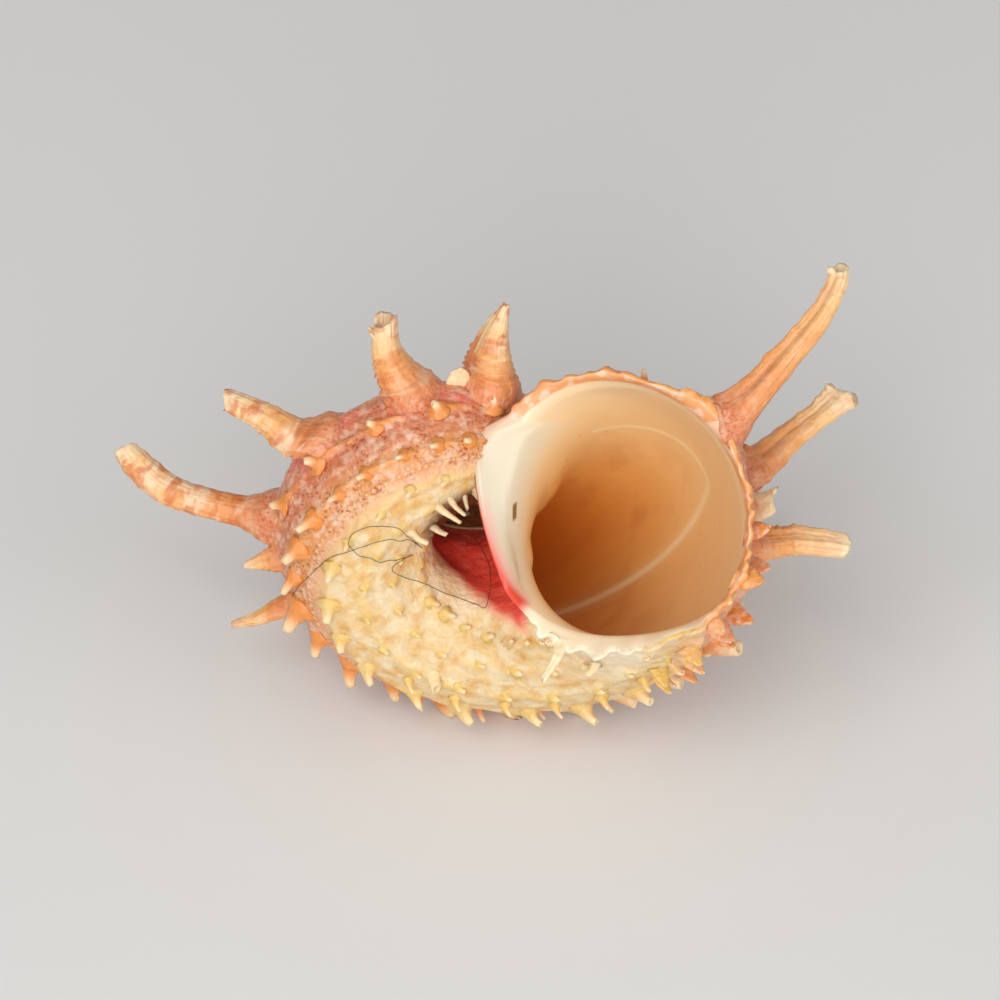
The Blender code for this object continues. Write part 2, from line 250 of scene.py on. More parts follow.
# %% Floor
# Matt paper scatters light evenly, so the shell's shadow is soft and nothing shines under it.
FLOOR_HALF = 3.0
floor_mesh = bpy.data.meshes.new("floor")
corners = [(x * FLOOR_HALF, y * FLOOR_HALF, 0.0) for x, y in ((-1, -1), (1, -1), (1, 1), (-1, 1))]
floor_mesh.from_pydata(corners, [], [(0, 1, 2, 3)])
floor = bpy.data.objects.new("floor", floor_mesh)
bpy.context.scene.collection.objects.link(floor)
paper = bpy.data.materials.new("matt pale paper")
paper.use_nodes = True
paper.node_tree.nodes["Principled BSDF"].inputs["Base Color"].default_value = rgb("#dcdbd8")
paper.node_tree.nodes["Principled BSDF"].inputs["Roughness"].default_value = 0.9
floor_mesh.materials.append(paper)
print("floor", 2 * FLOOR_HALF, "m wide")

# %% [markdown]
# ## The sculpture of the outside
# The tube carries a keel at its shoulder, which rises into the root of every spine, and spiral
# cords below it. Each cord swells into knobs or little open tubes where the lip once stopped.
# Beside the axis a groove runs round the navel. Each ridge could be a mesh of its own, but they
# grow out of one wall without a seam, so all of it is one height over turn and section.

# %% Long spines
# Turn, section, strength of the colour bands, depth of the gutter, and the path as (outwards,
# onwards along the growth, towards the spire, half width) in mm from the root.
LONG_SPINES = (
    (-5, -30, 0.3, 0.35, ((0.0, 0.0, 0.0, 2.8), (4.3, 1.9, 0.3, 1.95), (8.3, 2.3, 2.4, 1.65),
                          (12.9, 2.9, 4.9, 1.4), (15.9, 3.8, 7.3, 1.15), (16.7, 4.5, 8.6, 1.1))),
    (-28, -30, 0.35, 0.3, ((0.0, 0.0, 0.0, 2.6), (2.6, 0.1, 0.6, 2.0), (5.4, 0.8, 2.2, 1.6),
                           (8.8, 1.6, 3.9, 1.45), (11.7, 2.4, 5.5, 1.9))),
    (-72, -30, 0.6, 0.4, ((0.0, 0.0, 0.0, 3.0), (4.5, -0.4, 1.4, 1.8), (9.0, -0.2, 4.0, 1.4),
                          (13.5, 0.2, 7.0, 1.15), (18.0, 0.6, 9.0, 1.1))),
    (-116, -30, 0.6, 0.4, ((0.0, 0.0, 0.0, 2.6), (1.9, 0.0, 0.6, 1.7), (3.2, 0.2, 1.5, 1.4))),
    (-160, -30, 0.7, 0.3, ((0.0, 0.0, 0.0, 2.6), (3.5, -0.4, 0.8, 1.7), (7.0, -0.1, 2.5, 1.3),
                           (9.4, 0.4, 4.1, 1.1))),
    (-205, -28, 1.0, 0.12, ((0.0, 0.0, 0.0, 2.9), (3.1, -0.7, 0.8, 1.75), (6.9, -1.7, 2.2, 1.6),
                            (10.1, -2.8, 3.7, 1.65), (12.6, -4.5, 6.2, 1.6), (13.6, -5.6, 7.8, 1.2))),
    (-252, -32, 1.0, 0.12, ((0.0, 0.0, 0.0, 3.1), (1.8, 1.9, 0.0, 2.4), (4.5, 2.8, 2.1, 1.7),
                            (7.6, 4.4, 4.3, 1.3))),
    (-294, -36, 0.6, 0.2, ((0.0, 0.0, 0.0, 3.2), (2.0, 1.0, 1.0, 2.6), (4.2, 1.2, 2.4, 1.9),
                           (6.6, 0.4, 4.1, 1.5))),
    (-328, -33, 0.9, 0.2, ((0.0, 0.0, 0.0, 3.3), (1.3, 0.8, 1.4, 2.9), (3.8, 1.2, 2.8, 1.95),
                           (7.5, 1.0, 4.5, 0.42))),
    (-22, -2, 0.3, 0.25, ((0.0, 0.0, 0.0, 2.6), (2.3, -0.2, -0.4, 1.8), (5.5, -0.2, -0.5, 1.6),
                          (10.1, -0.8, -1.4, 1.35))),
    (-161, -2, 0.5, 0.3, ((0.0, 0.0, 0.0, 1.9), (2.3, -1.0, 0.2, 1.25), (5.0, -1.8, -0.1, 0.8),
                          (7.6, -2.8, 0.0, 0.4))),
    (-185, -4, 0.3, 0.3, ((0.0, 0.0, 0.0, 1.6), (1.6, 0.0, 0.0, 1.0), (3.7, 0.0, 0.0, 0.35))),
)
print(len(LONG_SPINES), "spines")

# %% Cords
# Cords: section angle, half width in degrees and height as a part of the tube's radius.
CORDS = ((-85, 3.0, 0.020), (-62, 3.5, 0.022), (-16, 2.2, 0.012), (-3, 4.0, 0.034), (7, 1.6, 0.008),
         (16, 2.0, 0.010), (24, 1.6, 0.006), (35, 3.6, 0.034), (44, 1.6, 0.008), (51, 1.8, 0.024),
         (59, 1.6, 0.010), (68, 3.2, 0.022), (80, 2.0, 0.010), (94, 3.2, 0.018),
         (105, 2.2, 0.010), (115, 3.4, 0.018), (126, 2.2, 0.010), (136, 4.0, 0.022))
# Cords that rise towards each of their scales: section, half width, height, first scale, spacing.
SWELLS = ((-3, 5.0, 0.050, -60, 25), (35, 4.5, 0.045, -17, 15), (68, 4.5, 0.040, -11, 19),
          (94, 4.5, 0.034, -12, 21), (115, 5.0, 0.034, -20, 23), (136, 5.0, 0.036, -4, 21))
# Where in its spacing a cord swells towards the next scale, and where it drops behind the last.
SWELL_UP, SWELL_DOWN = (0.25, 0.95), (0.0, 0.14)
TALLEST_SWELL = max(tall for at, wide, tall, first, spacing in SWELLS)
print(len(CORDS), "cords, of which", len(SWELLS), "swell")

# %% The smooth tube


def smooth_radius(turn, section, rimmed=True):
    """The radius without sculpture: 1 plus an oval wave, less the ramp's flat, plus the navel's
    corner, times the tube's radius."""
    oval, oval_angle = SECTION_OVAL
    shape = 1.0 + oval * np.cos(2.0 * (section - math.radians(oval_angle)))
    full, gone = np.radians(FADES)
    amount = np.clip((gone - turn) / (gone - full), 0.0, 1.0)
    for height, angle, width in (RAMP, NAVEL_RIM) if rimmed else (RAMP,):
        shape = shape + amount * height * bump(section, angle, width)
    return TUBE_RADIUS * shape


print("the tube is", round(2 * smooth_radius(-1.0, 0.0) / MM, 1), "mm wide without its sculpture")

# %% Cords that swell, and the groove round the navel
# The groove: its depth, section and half width; its edge's section and how that slants with the
# turn; its bank in degrees; and the turns between which it deepens and where it began.
NAVEL_GROOVE, NAVEL_EDGE = (0.09, 190.0, 13.0), (134.0, -0.2)
GROOVE_BANK, GROOVE_DEEPENS, GROOVE_BEGAN = (-1.0, 15.0), (-9.0, -55.0), (-260.0, -170.0)


def swell(turn, section):
    """Rise of each cord towards its next scale: an S curve up, then a quick drop behind it."""
    total = 0.0
    for at, wide, tall, first, spacing in SWELLS:
        phase = ((np.degrees(turn) - first) / spacing) % 1.0
        rise = step(*SWELL_UP, phase) + 1.0 - step(*SWELL_DOWN, phase)
        total = total + tall * bump(section, at, wide) * rise
    return total


def groove(turn, section):
    """The drop from the navel's edge to its floor: a product of four smooth steps."""
    deep, side, broad = NAVEL_GROOVE
    edge, slant = NAVEL_EDGE
    inside = np.degrees(section) - edge - slant * np.degrees(turn)
    across = step(*GROOVE_BANK, inside) * step(side + broad, side - broad, np.degrees(section))
    return deep * across * degrees_step(*GROOVE_DEEPENS, turn) * degrees_step(*GROOVE_BEGAN, turn)


print("the groove is up to", round(NAVEL_GROOVE[0] * TUBE_RADIUS / MM, 1), "mm deep")

# %% The whole relief
# Where a spine stands the keel, or the cord it stands on, rises: the two heights, the section that
# parts them, and the rise's half width both ways in degrees.
KEEL_ROOT, CORD_ROOT, KEEL_SIDE, ROOT_WIDE = 0.11, 0.05, -20, 8.0
# Wrinkles along the growth lines: waves in a radian of turn, the drift of those waves with the
# turn and with the section, and where they lie as (height, section, half width).
WRINKLE_WAVES, WRINKLE_DRIFTS = 62.0, ((2.5, 9.0), (1.5, 5.0))
WRINKLED = ((0.007, -62.0, 24.0), (0.006, -18.0, 9.0))
# Slow uneven folds, as two crossing waves in a radian, how far the first one meanders, and where
# they lie.
FOLD_WAVES, MEANDER, FOLDED = ((33.0, 9.0), (21.0, 6.0)), 2.0, (0.012, 5.0, 60.0)
# How far the lip's edge draws back beside the navel, and the mean height that is taken off again.
STRIP, STRIP_FROM, MEAN_HEIGHT = (0.05, 190.0, 26.0), -15.0, 0.0175


def sculpture(turn, section):
    """Height over the smooth tube: keel + cords + wrinkles + folds - groove - strip - mean."""
    height, angle, width = KEEL
    keel = height * bump(section, angle, width)
    for at, side, *rest in LONG_SPINES:
        near = np.exp(-((turn - math.radians(at)) / math.radians(ROOT_WIDE)) ** 2)
        tall = KEEL_ROOT if side < KEEL_SIDE else CORD_ROOT
        keel = keel + tall * near * bump(section, side, ROOT_WIDE)
    cords = sum(tall * bump(section, at, wide) for at, wide, tall in CORDS) + swell(turn, section)
    (much, often), (much_round, often_round) = WRINKLE_DRIFTS
    drift = much * np.sin(turn * often) + much_round * np.sin(section * often_round)
    wrinkled = sum(tall * bump(section, at, wide) for tall, at, wide in WRINKLED)
    (along, across), (along_too, across_too) = FOLD_WAVES
    folds = np.sin(turn * along + MEANDER * np.sin(section * across))
    folds = folds * np.sin(turn * along_too + section * across_too)
    tall, at, wide = FOLDED
    back, side, broad = STRIP
    strip = back * bump(section, side, broad) * degrees_step(STRIP_FROM, 0.0, turn)
    return TUBE_RADIUS * (keel + cords + np.sin(turn * WRINKLE_WAVES + drift) * wrinkled
                          + tall * folds * bump(section, at, wide)
                          - groove(turn, section) - strip - MEAN_HEIGHT)


print("the keel stands", round(sculpture(-1.0, math.radians(KEEL[1])) / MM, 2), "mm high")

# %% [markdown]
# ## The tube as one closed skin
# The skin runs from the apex along the outside to the lip, rolls over it, and runs back along the
# inside deep into the coil. Where a whorl lies on the older one, the outside stops just under the
# older surface and the inside stays a thin glaze above it, which is how the snail builds it. A
# Boolean of overlapping whorls would leave hard seams there; a ray from the tube's middle that
# stops at the older whorl finds the same edge and keeps the grid whole.

# %% How far a point is from the older whorl


def clearance(points, angle):
    """Distance of coil frame points from the whorl one turn older, negative inside it."""
    older, out, along = locate(points, angle - math.tau)
    section = np.arctan2(along, out)
    turn = older - lean(section)
    radius = smooth_radius(turn, section) + sculpture(turn, section)
    return np.hypot(out, along) - radius * growth(older)


RAY_STEPS = 50


def reach(turn, section, longest, gap):
    """The radius at which a ray first comes within a gap of the older whorl, or the longest: the
    ray is walked in equal steps, and the last one is cut where the distance crosses zero."""
    angle = turn + lean(section)
    found = longest.copy()
    open_yet = np.ones(longest.shape, bool)
    last = clearance(place(turn, section, longest * 0.0), angle) - gap
    walk = np.linspace(0.0, 1.0, RAY_STEPS)
    for low, high in zip(walk[:-1], walk[1:]):
        now = clearance(place(turn, section, longest * high), angle) - gap
        meets = open_yet & (now < 0.0)
        share = np.clip(last / np.maximum(last - now, 1e-9), 0.0, 1.0)
        found = np.where(meets, longest * (low + (high - low) * share), found)
        open_yet &= ~meets
        last = now
    return found


overlap = np.radians(np.array([[200.0, 220.0, 240.0]]))
met = reach(overlap * 0.0 - 1.0, overlap, overlap * 0.0 + TUBE_RADIUS, 0.0)
print("at sections 200, 220 and 240 the rays reach", np.round(met[0] / MM, 1).tolist(), "mm")

# %% Angles of the grid


def spread(stretches):
    """Angles in radians from (start, end, step) stretches given in degrees, the end left out."""
    return np.radians(np.concatenate([np.arange(a, b, s, dtype=float) for a, b, s in stretches]))


FIRST_TURN = -936.0
SECTIONS = spread(((-100, 150, 1.75), (150, 206, 3.5), (206, 260, 6.0)))
OUTER_TURNS = spread(((FIRST_TURN, -720, 9.0), (-720, -360, 4.0), (-360, -60, 1.0), (-60, 0, 0.8)))
OUTER_TURNS = np.append(OUTER_TURNS, 0.0)
INNER_TURNS = spread(((-400, -180, 10.0), (-180, -30, 5.0), (-30, 0, 1.5)))[::-1]
print(len(SECTIONS), "angles round the tube,", len(OUTER_TURNS), "rings outside")

# %% The wall's thickness and the lip's teeth
# The wall at the lip, what is added as (thickness, section, half width), and the least.
LIP_WALL, LEAST_WALL = 1.2 * MM, 0.35 * MM
COLUMELLA_WALL, BASE_LIP_WALL = (-0.45 * MM, 190.0, 34.0), (0.9 * MM, 100.0, 40.0)
# The outer lip thins to its edge: share, section and half width, and from which turn.
SHARP, SHARP_AT, SHARP_FROM = 0.55, (-30.0, 75.0), -9.0
# How far the small teeth above and the square folds below stand ahead; where the teeth start, in
# degrees of section; where they end and where the folds begin and end, in radians of section.
SMALL_TOOTH, SQUARE_FOLD = math.radians(1.2), math.radians(1.9)
TEETH_START, TEETH_END, FOLDS_AT, FOLDS_END = (-104.0, -92.0), 1.1, (1.0, 1.3), (2.75, 2.5)
FRILL = 0.4 * MM / SMALL_TOOTH        # how far a tooth also turns outwards
# Waves in a radian of section: the small teeth, the drift of their spacing and of their height;
# then the square folds and the drift of their spacing.
TOOTH_WAVES, FOLD_ROUND = (52.0, 11.0, 17.0), (26.0, 7.0)
# How far the teeth's and the folds' spacing drifts; the teeth's mean height and how far it
# swings; and how square the folds are.
TOOTH_DRIFT, FOLD_DRIFT, TOOTH_HEIGHT, TOOTH_SWING, SQUARENESS = 1.7, 1.3, 0.75, 0.5, 2.5


def wall(turn, section):
    """The wall's thickness at the mouth's size: thin at the columella and the outer edge, thick at
    the base."""
    thick = LIP_WALL
    for extra, angle, width in (COLUMELLA_WALL, BASE_LIP_WALL):
        thick = thick + extra * bump(section, angle, width)
    return thick * (1.0 - SHARP * bump(section, *SHARP_AT) * degrees_step(SHARP_FROM, 0.0, turn))


def teeth(section):
    """How far the lip's edge stands ahead: a wave of a wave above, a squared wave below."""
    often, drift, height = TOOTH_WAVES
    small = 0.5 + 0.5 * np.sin(section * often + TOOTH_DRIFT * np.sin(section * drift))
    small = small * (TOOTH_HEIGHT + TOOTH_SWING * np.sin(section * height))
    above = small * degrees_step(*TEETH_START, section) * (section < TEETH_END)
    often, drift = FOLD_ROUND
    wave = np.sin(section * often + FOLD_DRIFT * np.sin(section * drift))
    square = np.tanh(SQUARENESS * wave) * 0.5 + 0.5
    below = square * step(*FOLDS_AT, section) * step(*FOLDS_END, section)
    return SMALL_TOOTH * above + SQUARE_FOLD * below


print("the wall is", round(wall(0.0, math.radians(BASE_LIP_WALL[1])) / MM, 1), "mm thick below")

# %% The outside
# Beside the axis the lip spreads ahead as a sheet of glaze over the older whorl. Its two borders
# as sections, how far it spreads, and from which turn; how deep the outside runs under the whorl.
PARIETAL, GLAZE_SPREAD, SPREADS_FROM = ((150.0, 188.0), (261.0, 250.0)), math.radians(10.0), -40.0
TEETH_FROM, FRILL_FROM, UNDER = -3.5, -6.0, 0.25 * MM

turns, sections = np.meshgrid(OUTER_TURNS, SECTIONS, indexing="ij")
parietal = degrees_step(*PARIETAL[0], sections) * degrees_step(*PARIETAL[1], sections)
outer_turns = turns + parietal * GLAZE_SPREAD * degrees_step(SPREADS_FROM, 0.0, turns)
outer_turns = outer_turns + teeth(sections) * degrees_step(TEETH_FROM, 0.0, turns)
outer_free = smooth_radius(outer_turns, sections) + sculpture(outer_turns, sections)
outer_free = outer_free + FRILL * teeth(sections) * degrees_step(FRILL_FROM, 0.0, turns)
outer_radius = reach(outer_turns, sections, outer_free, -UNDER)
outer = place(outer_turns, sections, outer_radius)
print("outside:", outer.shape[0], "rings of", outer.shape[1], "points")

# %% The inside
# The glaze over the older whorl is CALLUS thick, but its edge dips under the surface, from the
# edge inwards over so many degrees of turn.
CALLUS, EDGE_DIP, DIP_OVER = 0.3 * MM, 0.15 * MM, 9.0

turns_in, sections_in = np.meshgrid(INNER_TURNS, SECTIONS, indexing="ij")
parietal_in = parietal[:1].repeat(len(INNER_TURNS), axis=0)
inner_turns = turns_in + parietal_in * GLAZE_SPREAD * degrees_step(SPREADS_FROM, 0.0, turns_in)
free = smooth_radius(inner_turns, sections_in, rimmed=False) - wall(inner_turns, sections_in)
outside = smooth_radius(inner_turns, sections_in) + sculpture(inner_turns, sections_in)
free = np.minimum(free, outside - LEAST_WALL)
edge = degrees_step(0.0, DIP_OVER, GLAZE_SPREAD * parietal_in - inner_turns)
edge = np.where(parietal_in > 0.5, edge, 1.0)
inner_radius = reach(inner_turns, sections_in, free, CALLUS * edge - EDGE_DIP * (1.0 - edge))
inner = place(inner_turns, sections_in, inner_radius)
print("inside:", inner.shape[0], "rings")

# %% The rolled lip
# Between the last outer ring and the first inner one a few rings bulge ahead as half a sine wave.
ROLL_RINGS, ROLL_AHEAD = 5, math.radians(1.3)

share = np.linspace(0.0, 1.0, ROLL_RINGS + 2)[1:-1, None]
roll_radius = outer_radius[-1] + (inner_radius[0] - outer_radius[-1]) * share
roll_turns = outer_turns[-1] + (inner_turns[0] - outer_turns[-1]) * share
roll_turns = roll_turns + ROLL_AHEAD * np.sin(math.pi * share) * (1.0 - parietal[-1])
skin = np.concatenate([outer, place(roll_turns, SECTIONS, roll_radius), inner])
print("skin of", skin.shape[0] * skin.shape[1] * 2, "triangles")

# %% What the skin remembers of its growth
# Each point keeps its turn and section in degrees and a third number, the rise: outside it says how
# far the cord has swelled, on the rolled lip it is 1, and inside it fades with the distance
# from the edge, over LIP_BAND degrees of turn.
LIP_BAND = 20.0
skin_turns = np.concatenate([outer_turns, roll_turns, inner_turns])
risen = swell(skin_turns, SECTIONS + 0.0 * skin_turns) / TALLEST_SWELL
risen[len(OUTER_TURNS):-len(INNER_TURNS)] = 1.0
from_edge = np.degrees(inner_turns[:1] - inner_turns)
risen[-len(INNER_TURNS):] = np.clip(1.0 - from_edge / LIP_BAND, 0.0, 1.0)
skin_growth = np.stack([np.degrees(skin_turns), np.degrees(SECTIONS) + 0.0 * skin_turns, risen],
                       axis=-1)
print("the cords' swelling goes up to", round(float(risen[:len(OUTER_TURNS)].max()), 2))

# %% Faces of a tube


def tube_faces(count, sides):
    """Corners of a tube's quads and of the fans at its ends, and which corners lie past the seam.

    A point's number is ring x sides + side, and the fans' two middles come last. The seam is
    crossed where the next side is side 0 again.
    """
    ring, side = np.meshgrid(np.arange(count - 1), np.arange(sides), indexing="ij")
    after = (side + 1) % sides
    quads = np.stack([ring * sides + side, ring * sides + after, (ring + 1) * sides + after,
                      (ring + 1) * sides + side], axis=-1).reshape(-1, 4)
    rim, last, middles = np.arange(sides), (count - 1) * sides, count * sides
    beside = (rim + 1) % sides
    fans = np.concatenate([np.stack([beside, rim, rim * 0 + middles], axis=-1),
                           np.stack([last + rim, last + beside, rim * 0 + middles + 1], axis=-1)])
    past = (after == 0).reshape(-1, 1) & np.isin(np.arange(4), (1, 2))
    past_fans = np.concatenate([(beside == 0)[:, None] & (np.arange(3) == at) for at in (0, 1)])
    return quads, fans, past, past_fans


print("a tube of 3 rings of 4 points has", sum(len(faces) for faces in tube_faces(3, 4)[:2]), "faces")

# %% A closed mesh from rings of points


def sock(name, rings, growth_of, lap=(0.0, 0.0, 0.0)):
    """Closed tubes through rings of points (tube, ring, side, xyz), with a fan at each end.

    Each face corner keeps its growth numbers; a lap is added where a face crosses the seam from
    the last side to the first. Where the signed volume, the sum of a x b . c over the faces, is
    negative every face is turned round, so that all point outwards. Nothing goes under the floor.
    """
    rings, growth_of = (a if a.ndim == 4 else a[None] for a in (rings, growth_of))
    tubes, count, sides = rings.shape[:3]
    ends = [rings[:, :1].mean(axis=2), rings[:, -1:].mean(axis=2)]
    grown = [growth_of[:, :1].mean(axis=2), growth_of[:, -1:].mean(axis=2)]
    points = np.concatenate([rings.reshape(tubes, -1, 3), *ends], axis=1)
    points[..., 2] = np.maximum(points[..., 2], 0.0)
    grown = np.concatenate([growth_of.reshape(tubes, -1, 3), *grown], axis=1)
    quads, fans, past, past_fans = tube_faces(count, sides)
    a, b, c, d = (points[:, quads[:, n]] for n in range(4))
    volume = np.sum(np.cross(a, b) * c + np.cross(a, c) * d)
    if volume < 0.0:
        quads, fans, past, past_fans = (faces[:, ::-1] for faces in (quads, fans, past, past_fans))
    shift = np.arange(tubes)[:, None, None] * points.shape[1]
    mesh = bpy.data.meshes.new(name)
    faces = (quads + shift).reshape(-1, 4).tolist() + (fans + shift).reshape(-1, 3).tolist()
    mesh.from_pydata(points.reshape(-1, 3).tolist(), [], faces)
    mesh.polygons.foreach_set("use_smooth", [True] * len(mesh.polygons))
    at_corners = [(grown[:, faces] + crossed[..., None] * np.array(lap)).reshape(-1, 3)
                  for faces, crossed in ((quads, past), (fans, past_fans))]
    kept = mesh.attributes.new("growth", "FLOAT_VECTOR", "CORNER")
    kept.data.foreach_set("vector", np.concatenate(at_corners).astype(np.float32).ravel())
    thing = bpy.data.objects.new(name, mesh)
    bpy.context.scene.collection.objects.link(thing)
    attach(thing, "root")
    return thing


whorls = sock("whorls", lay(skin), skin_growth, lap=(0.0, 360.0, 0.0))
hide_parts("shell")
print(len(whorls.data.polygons), "faces")

# %% [markdown]
# ## Spines
# A spine is a fold of the lip that was left behind as the shell grew on: a long gutter, open
# towards the growth, whose end has broken off. It could be sculpted by hand; a ring with one dent,
# carried along a smooth path, gives the same shape from a few numbers. The root spreads into the
# keel and stops just under the surface.

# %% Where a piece stands on the shell


def axes_at(turn, section):
    """A point of the outside, and the directions outwards, onwards and towards the spire."""
    turn, section = np.radians(turn), np.radians(section)
    radius = smooth_radius(turn, section) + TUBE_RADIUS * KEEL[0] * bump(section, *KEEL[1:])
    point = place(turn, section, radius)
    heading = np.arctan2(point[..., 1], point[..., 0])
    zero = np.zeros_like(heading)
    outwards = np.stack([np.cos(heading), np.sin(heading), zero], axis=-1)
    onwards = np.stack([-np.sin(heading), np.cos(heading), zero], axis=-1)
    return point, outwards, onwards, np.stack([zero, zero, zero - 1.0], axis=-1)


def settle(points, angle, depth, hug):
    """Lift points that are deeper than depth under the outside, and draw others down by hug: the
    distance from the tube's middle is a mix of the larger of both and the surface's own."""
    here, out, along = locate(points, angle)
    section = np.arctan2(along, out)
    turn = here - lean(section)
    size = growth(here)
    radius = (smooth_radius(turn, section) + sculpture(turn, section)) * size - depth
    far = np.maximum(np.hypot(out, along), 1e-6)
    lift = (np.maximum(radius, far) * (1.0 - hug) + radius * hug) / far
    across = AXIS_RADIUS * size + out * lift
    heading = here + math.radians(MOUTH_HEADING)
    return np.stack([across * np.cos(heading), across * np.sin(heading),
                     AXIS_HEIGHT * size + along * lift + sunk(here)], axis=-1)


print("the first spine's root stands at",
      np.round(lay(axes_at(*LONG_SPINES[0][:2])[0]) / MM, 1).tolist(), "mm")

# %% A smooth path and directions along it


def smooth_path(points, count):
    """A Catmull-Rom curve, the cubic that passes through all its points, at even stations."""
    points = np.array(points)
    ends = np.concatenate([[2 * points[0] - points[1]], points, [2 * points[-1] - points[-2]]])
    share = np.linspace(0.0, len(points) - 1.0001, count)
    at = share.astype(int)
    u = (share - at)[:, None]
    a, b, c, d = ends[at], ends[at + 1], ends[at + 2], ends[at + 3]
    return 0.5 * (2 * b + (c - a) * u + (2 * a - 5 * b + 4 * c - d) * u ** 2
                  + (3 * b - a - 3 * c + d) * u ** 3)


def unit(vectors):
    """The same directions with a length of 1."""
    return vectors / np.linalg.norm(vectors, axis=-1, keepdims=True)


def run_along(line):
    """How far each station is from the first, added up along the line, as a column."""
    return np.append(0.0, np.cumsum(np.linalg.norm(np.diff(line, axis=0), axis=1)))[:, None]


print("half way, a path through 0, 1 and 3 is at", round(smooth_path(((0,), (1,), (3,)), 3)[1, 0], 2))

# %% The gutter of a spine
# The root is sunk under the skin and flared, both fading along the spine; it stands square to the
# wall for so many half widths; and the surface draws it down over a short run.
ROOT_SUNK, SUNK_OVER, ROOT_FLARE, FLARE_OVER = 0.5 * MM, 0.4 * MM, 0.45, 0.8 * MM
SQUARE_ROOT, HUG_OVER, ROOT_DEPTH = 2.6, 0.55 * MM, 0.3 * MM
# The dent's half width, and the place and half width of its two lips, in radians; by which share
# of the length it is full; and how closely the points crowd round it.
DENT_WIDE, LIPS_AT, LIPS_WIDE, DENT_FROM, CROWDING = 0.42, 0.75, 0.25, 0.25, 0.55
# The ragged waves: how strong on the dent's lips, along the spine and round it, and how many of
# them there may be along it, in radians.
RAGGED_LIPS, RAGGED_ALONG, RAGGED_ROUND, RAGGED_WAVES = 0.6, 0.25, 0.35, (20, 90)
# The waves round it and how they twist along it; and where any wave may start, in radians.
ROUND_WAVES, ROUND_TWIST, STARTS = (5, 9, 13), 2.0, (0, 6)
# The torn end: how many rings, how far, by which waves; then two smaller rings lead back inside,
# as (size, back).
END_RINGS, TEAR, TEAR_WAVES = 6, 0.30, (1, 2, 3, 5, 8)
HOLE = (0.72, 0.05 * MM), (0.5, 0.9 * MM)
# Where the pattern lies: how many mm further on for each spine, and what one degree round counts.
GRAIN_APART, GRAIN_ROUND = 40.0, 0.025


def gutter_ring(share, sides, gutter, ragged, dice):
    """Angles round a ring, and its radius there: 1, less a bell-shaped dent on the growth side,
    plus ragged waves that are strongest on the dent's two lips."""
    v = np.linspace(0.0, math.tau, sides, endpoint=False)[None]
    angle = v - CROWDING * np.sin(v)
    dent = gutter * np.exp(-(wrap(angle) / DENT_WIDE) ** 2) * step(0.0, DENT_FROM, share)
    lips = np.exp(-((np.abs(wrap(angle)) - LIPS_AT) / LIPS_WIDE) ** 2)
    waves = sum(np.sin(share * often + start)
                for often, start in zip(dice.uniform(*RAGGED_WAVES, 6), dice.uniform(*STARTS, 6)))
    around = sum(np.cos(often * angle + start + ROUND_TWIST * share)
                 for often, start in zip(ROUND_WAVES, dice.uniform(*STARTS, len(ROUND_WAVES))))
    rough = lips * waves * RAGGED_LIPS + RAGGED_ALONG * waves + RAGGED_ROUND * around
    return angle, 1.0 - dent + ragged * rough


def torn_end(rings, ahead, half, share, angle, dice):
    """Pull the last rings ahead or back by a sum of cosines, and add the rings of the hole."""
    tear = sum(np.cos(often * angle[0] + start) / often
               for often, start in zip(TEAR_WAVES, dice.uniform(*STARTS, len(TEAR_WAVES))))
    count = len(share)
    tail = np.maximum(share * count - (count - END_RINGS), 0.0) / END_RINGS
    rings = rings + ahead[:, None] * (TEAR * half * tear[None] * tail)[..., None]
    end = rings[-1].mean(axis=0)
    hole = [end + (ring - ring.mean(axis=0)) * size - ahead[-1] * back
            for ring, (size, back) in zip((rings[-1], rings[-2]), HOLE)]
    return np.concatenate([rings, np.array(hole)])


def grow_gutter(turn, section, path, seed, gutter, sides=32, count=48, ragged=0.05, flat=0.82):
    """Rings of a gutter: the middle line, plus half width x shape x (first x cosine x flat +
    second x sine), where first points towards the growth and second is square to it."""
    dice = np.random.default_rng(seed)
    point, outwards, onwards, spirewards = axes_at(turn, section)
    side = np.radians(section)
    normal = outwards * np.cos(side) - spirewards * np.sin(side)
    offsets, widths = np.split(np.array(path) * MM, [3], axis=1)
    stations = point + offsets @ np.stack([outwards, onwards, spirewards])
    line, half = np.split(smooth_path(np.concatenate([stations, widths], axis=1), count), [3], axis=1)
    run = run_along(line)
    line = line - normal * ROOT_SUNK * np.exp(-run / SUNK_OVER)
    half = half * (1.0 + ROOT_FLARE * np.exp(-run / FLARE_OVER))
    follow = step(0.0, SQUARE_ROOT * widths[0], run)
    ahead = unit(unit(np.gradient(line, axis=0)) * follow + normal * (1.0 - follow))
    first = unit(onwards - (ahead @ onwards)[:, None] * ahead)
    second = np.cross(ahead, first)
    share = np.linspace(0.0, 1.0, count)[:, None]
    angle, shape = gutter_ring(share, sides, gutter, ragged, dice)
    ring = first[:, None] * (np.cos(angle) * flat)[..., None] + second[:, None] * np.sin(angle)[..., None]
    rings = torn_end(line[:, None] + ring * (half * shape)[..., None], ahead, half, share, angle, dice)
    hug = np.append(np.exp(-(run / HUG_OVER) ** 2), [[0.0], [0.0]], axis=0)
    rings = settle(rings, np.radians(turn) + lean(np.radians(section)), ROOT_DEPTH, hug)
    far, share = (np.append(column, column[[-1, -1]], axis=0) for column in (run_along(line) / MM, share))
    return rings, np.stack(np.broadcast_arrays(far + GRAIN_APART * seed, np.degrees(angle) * GRAIN_ROUND,
                                               share), axis=-1)


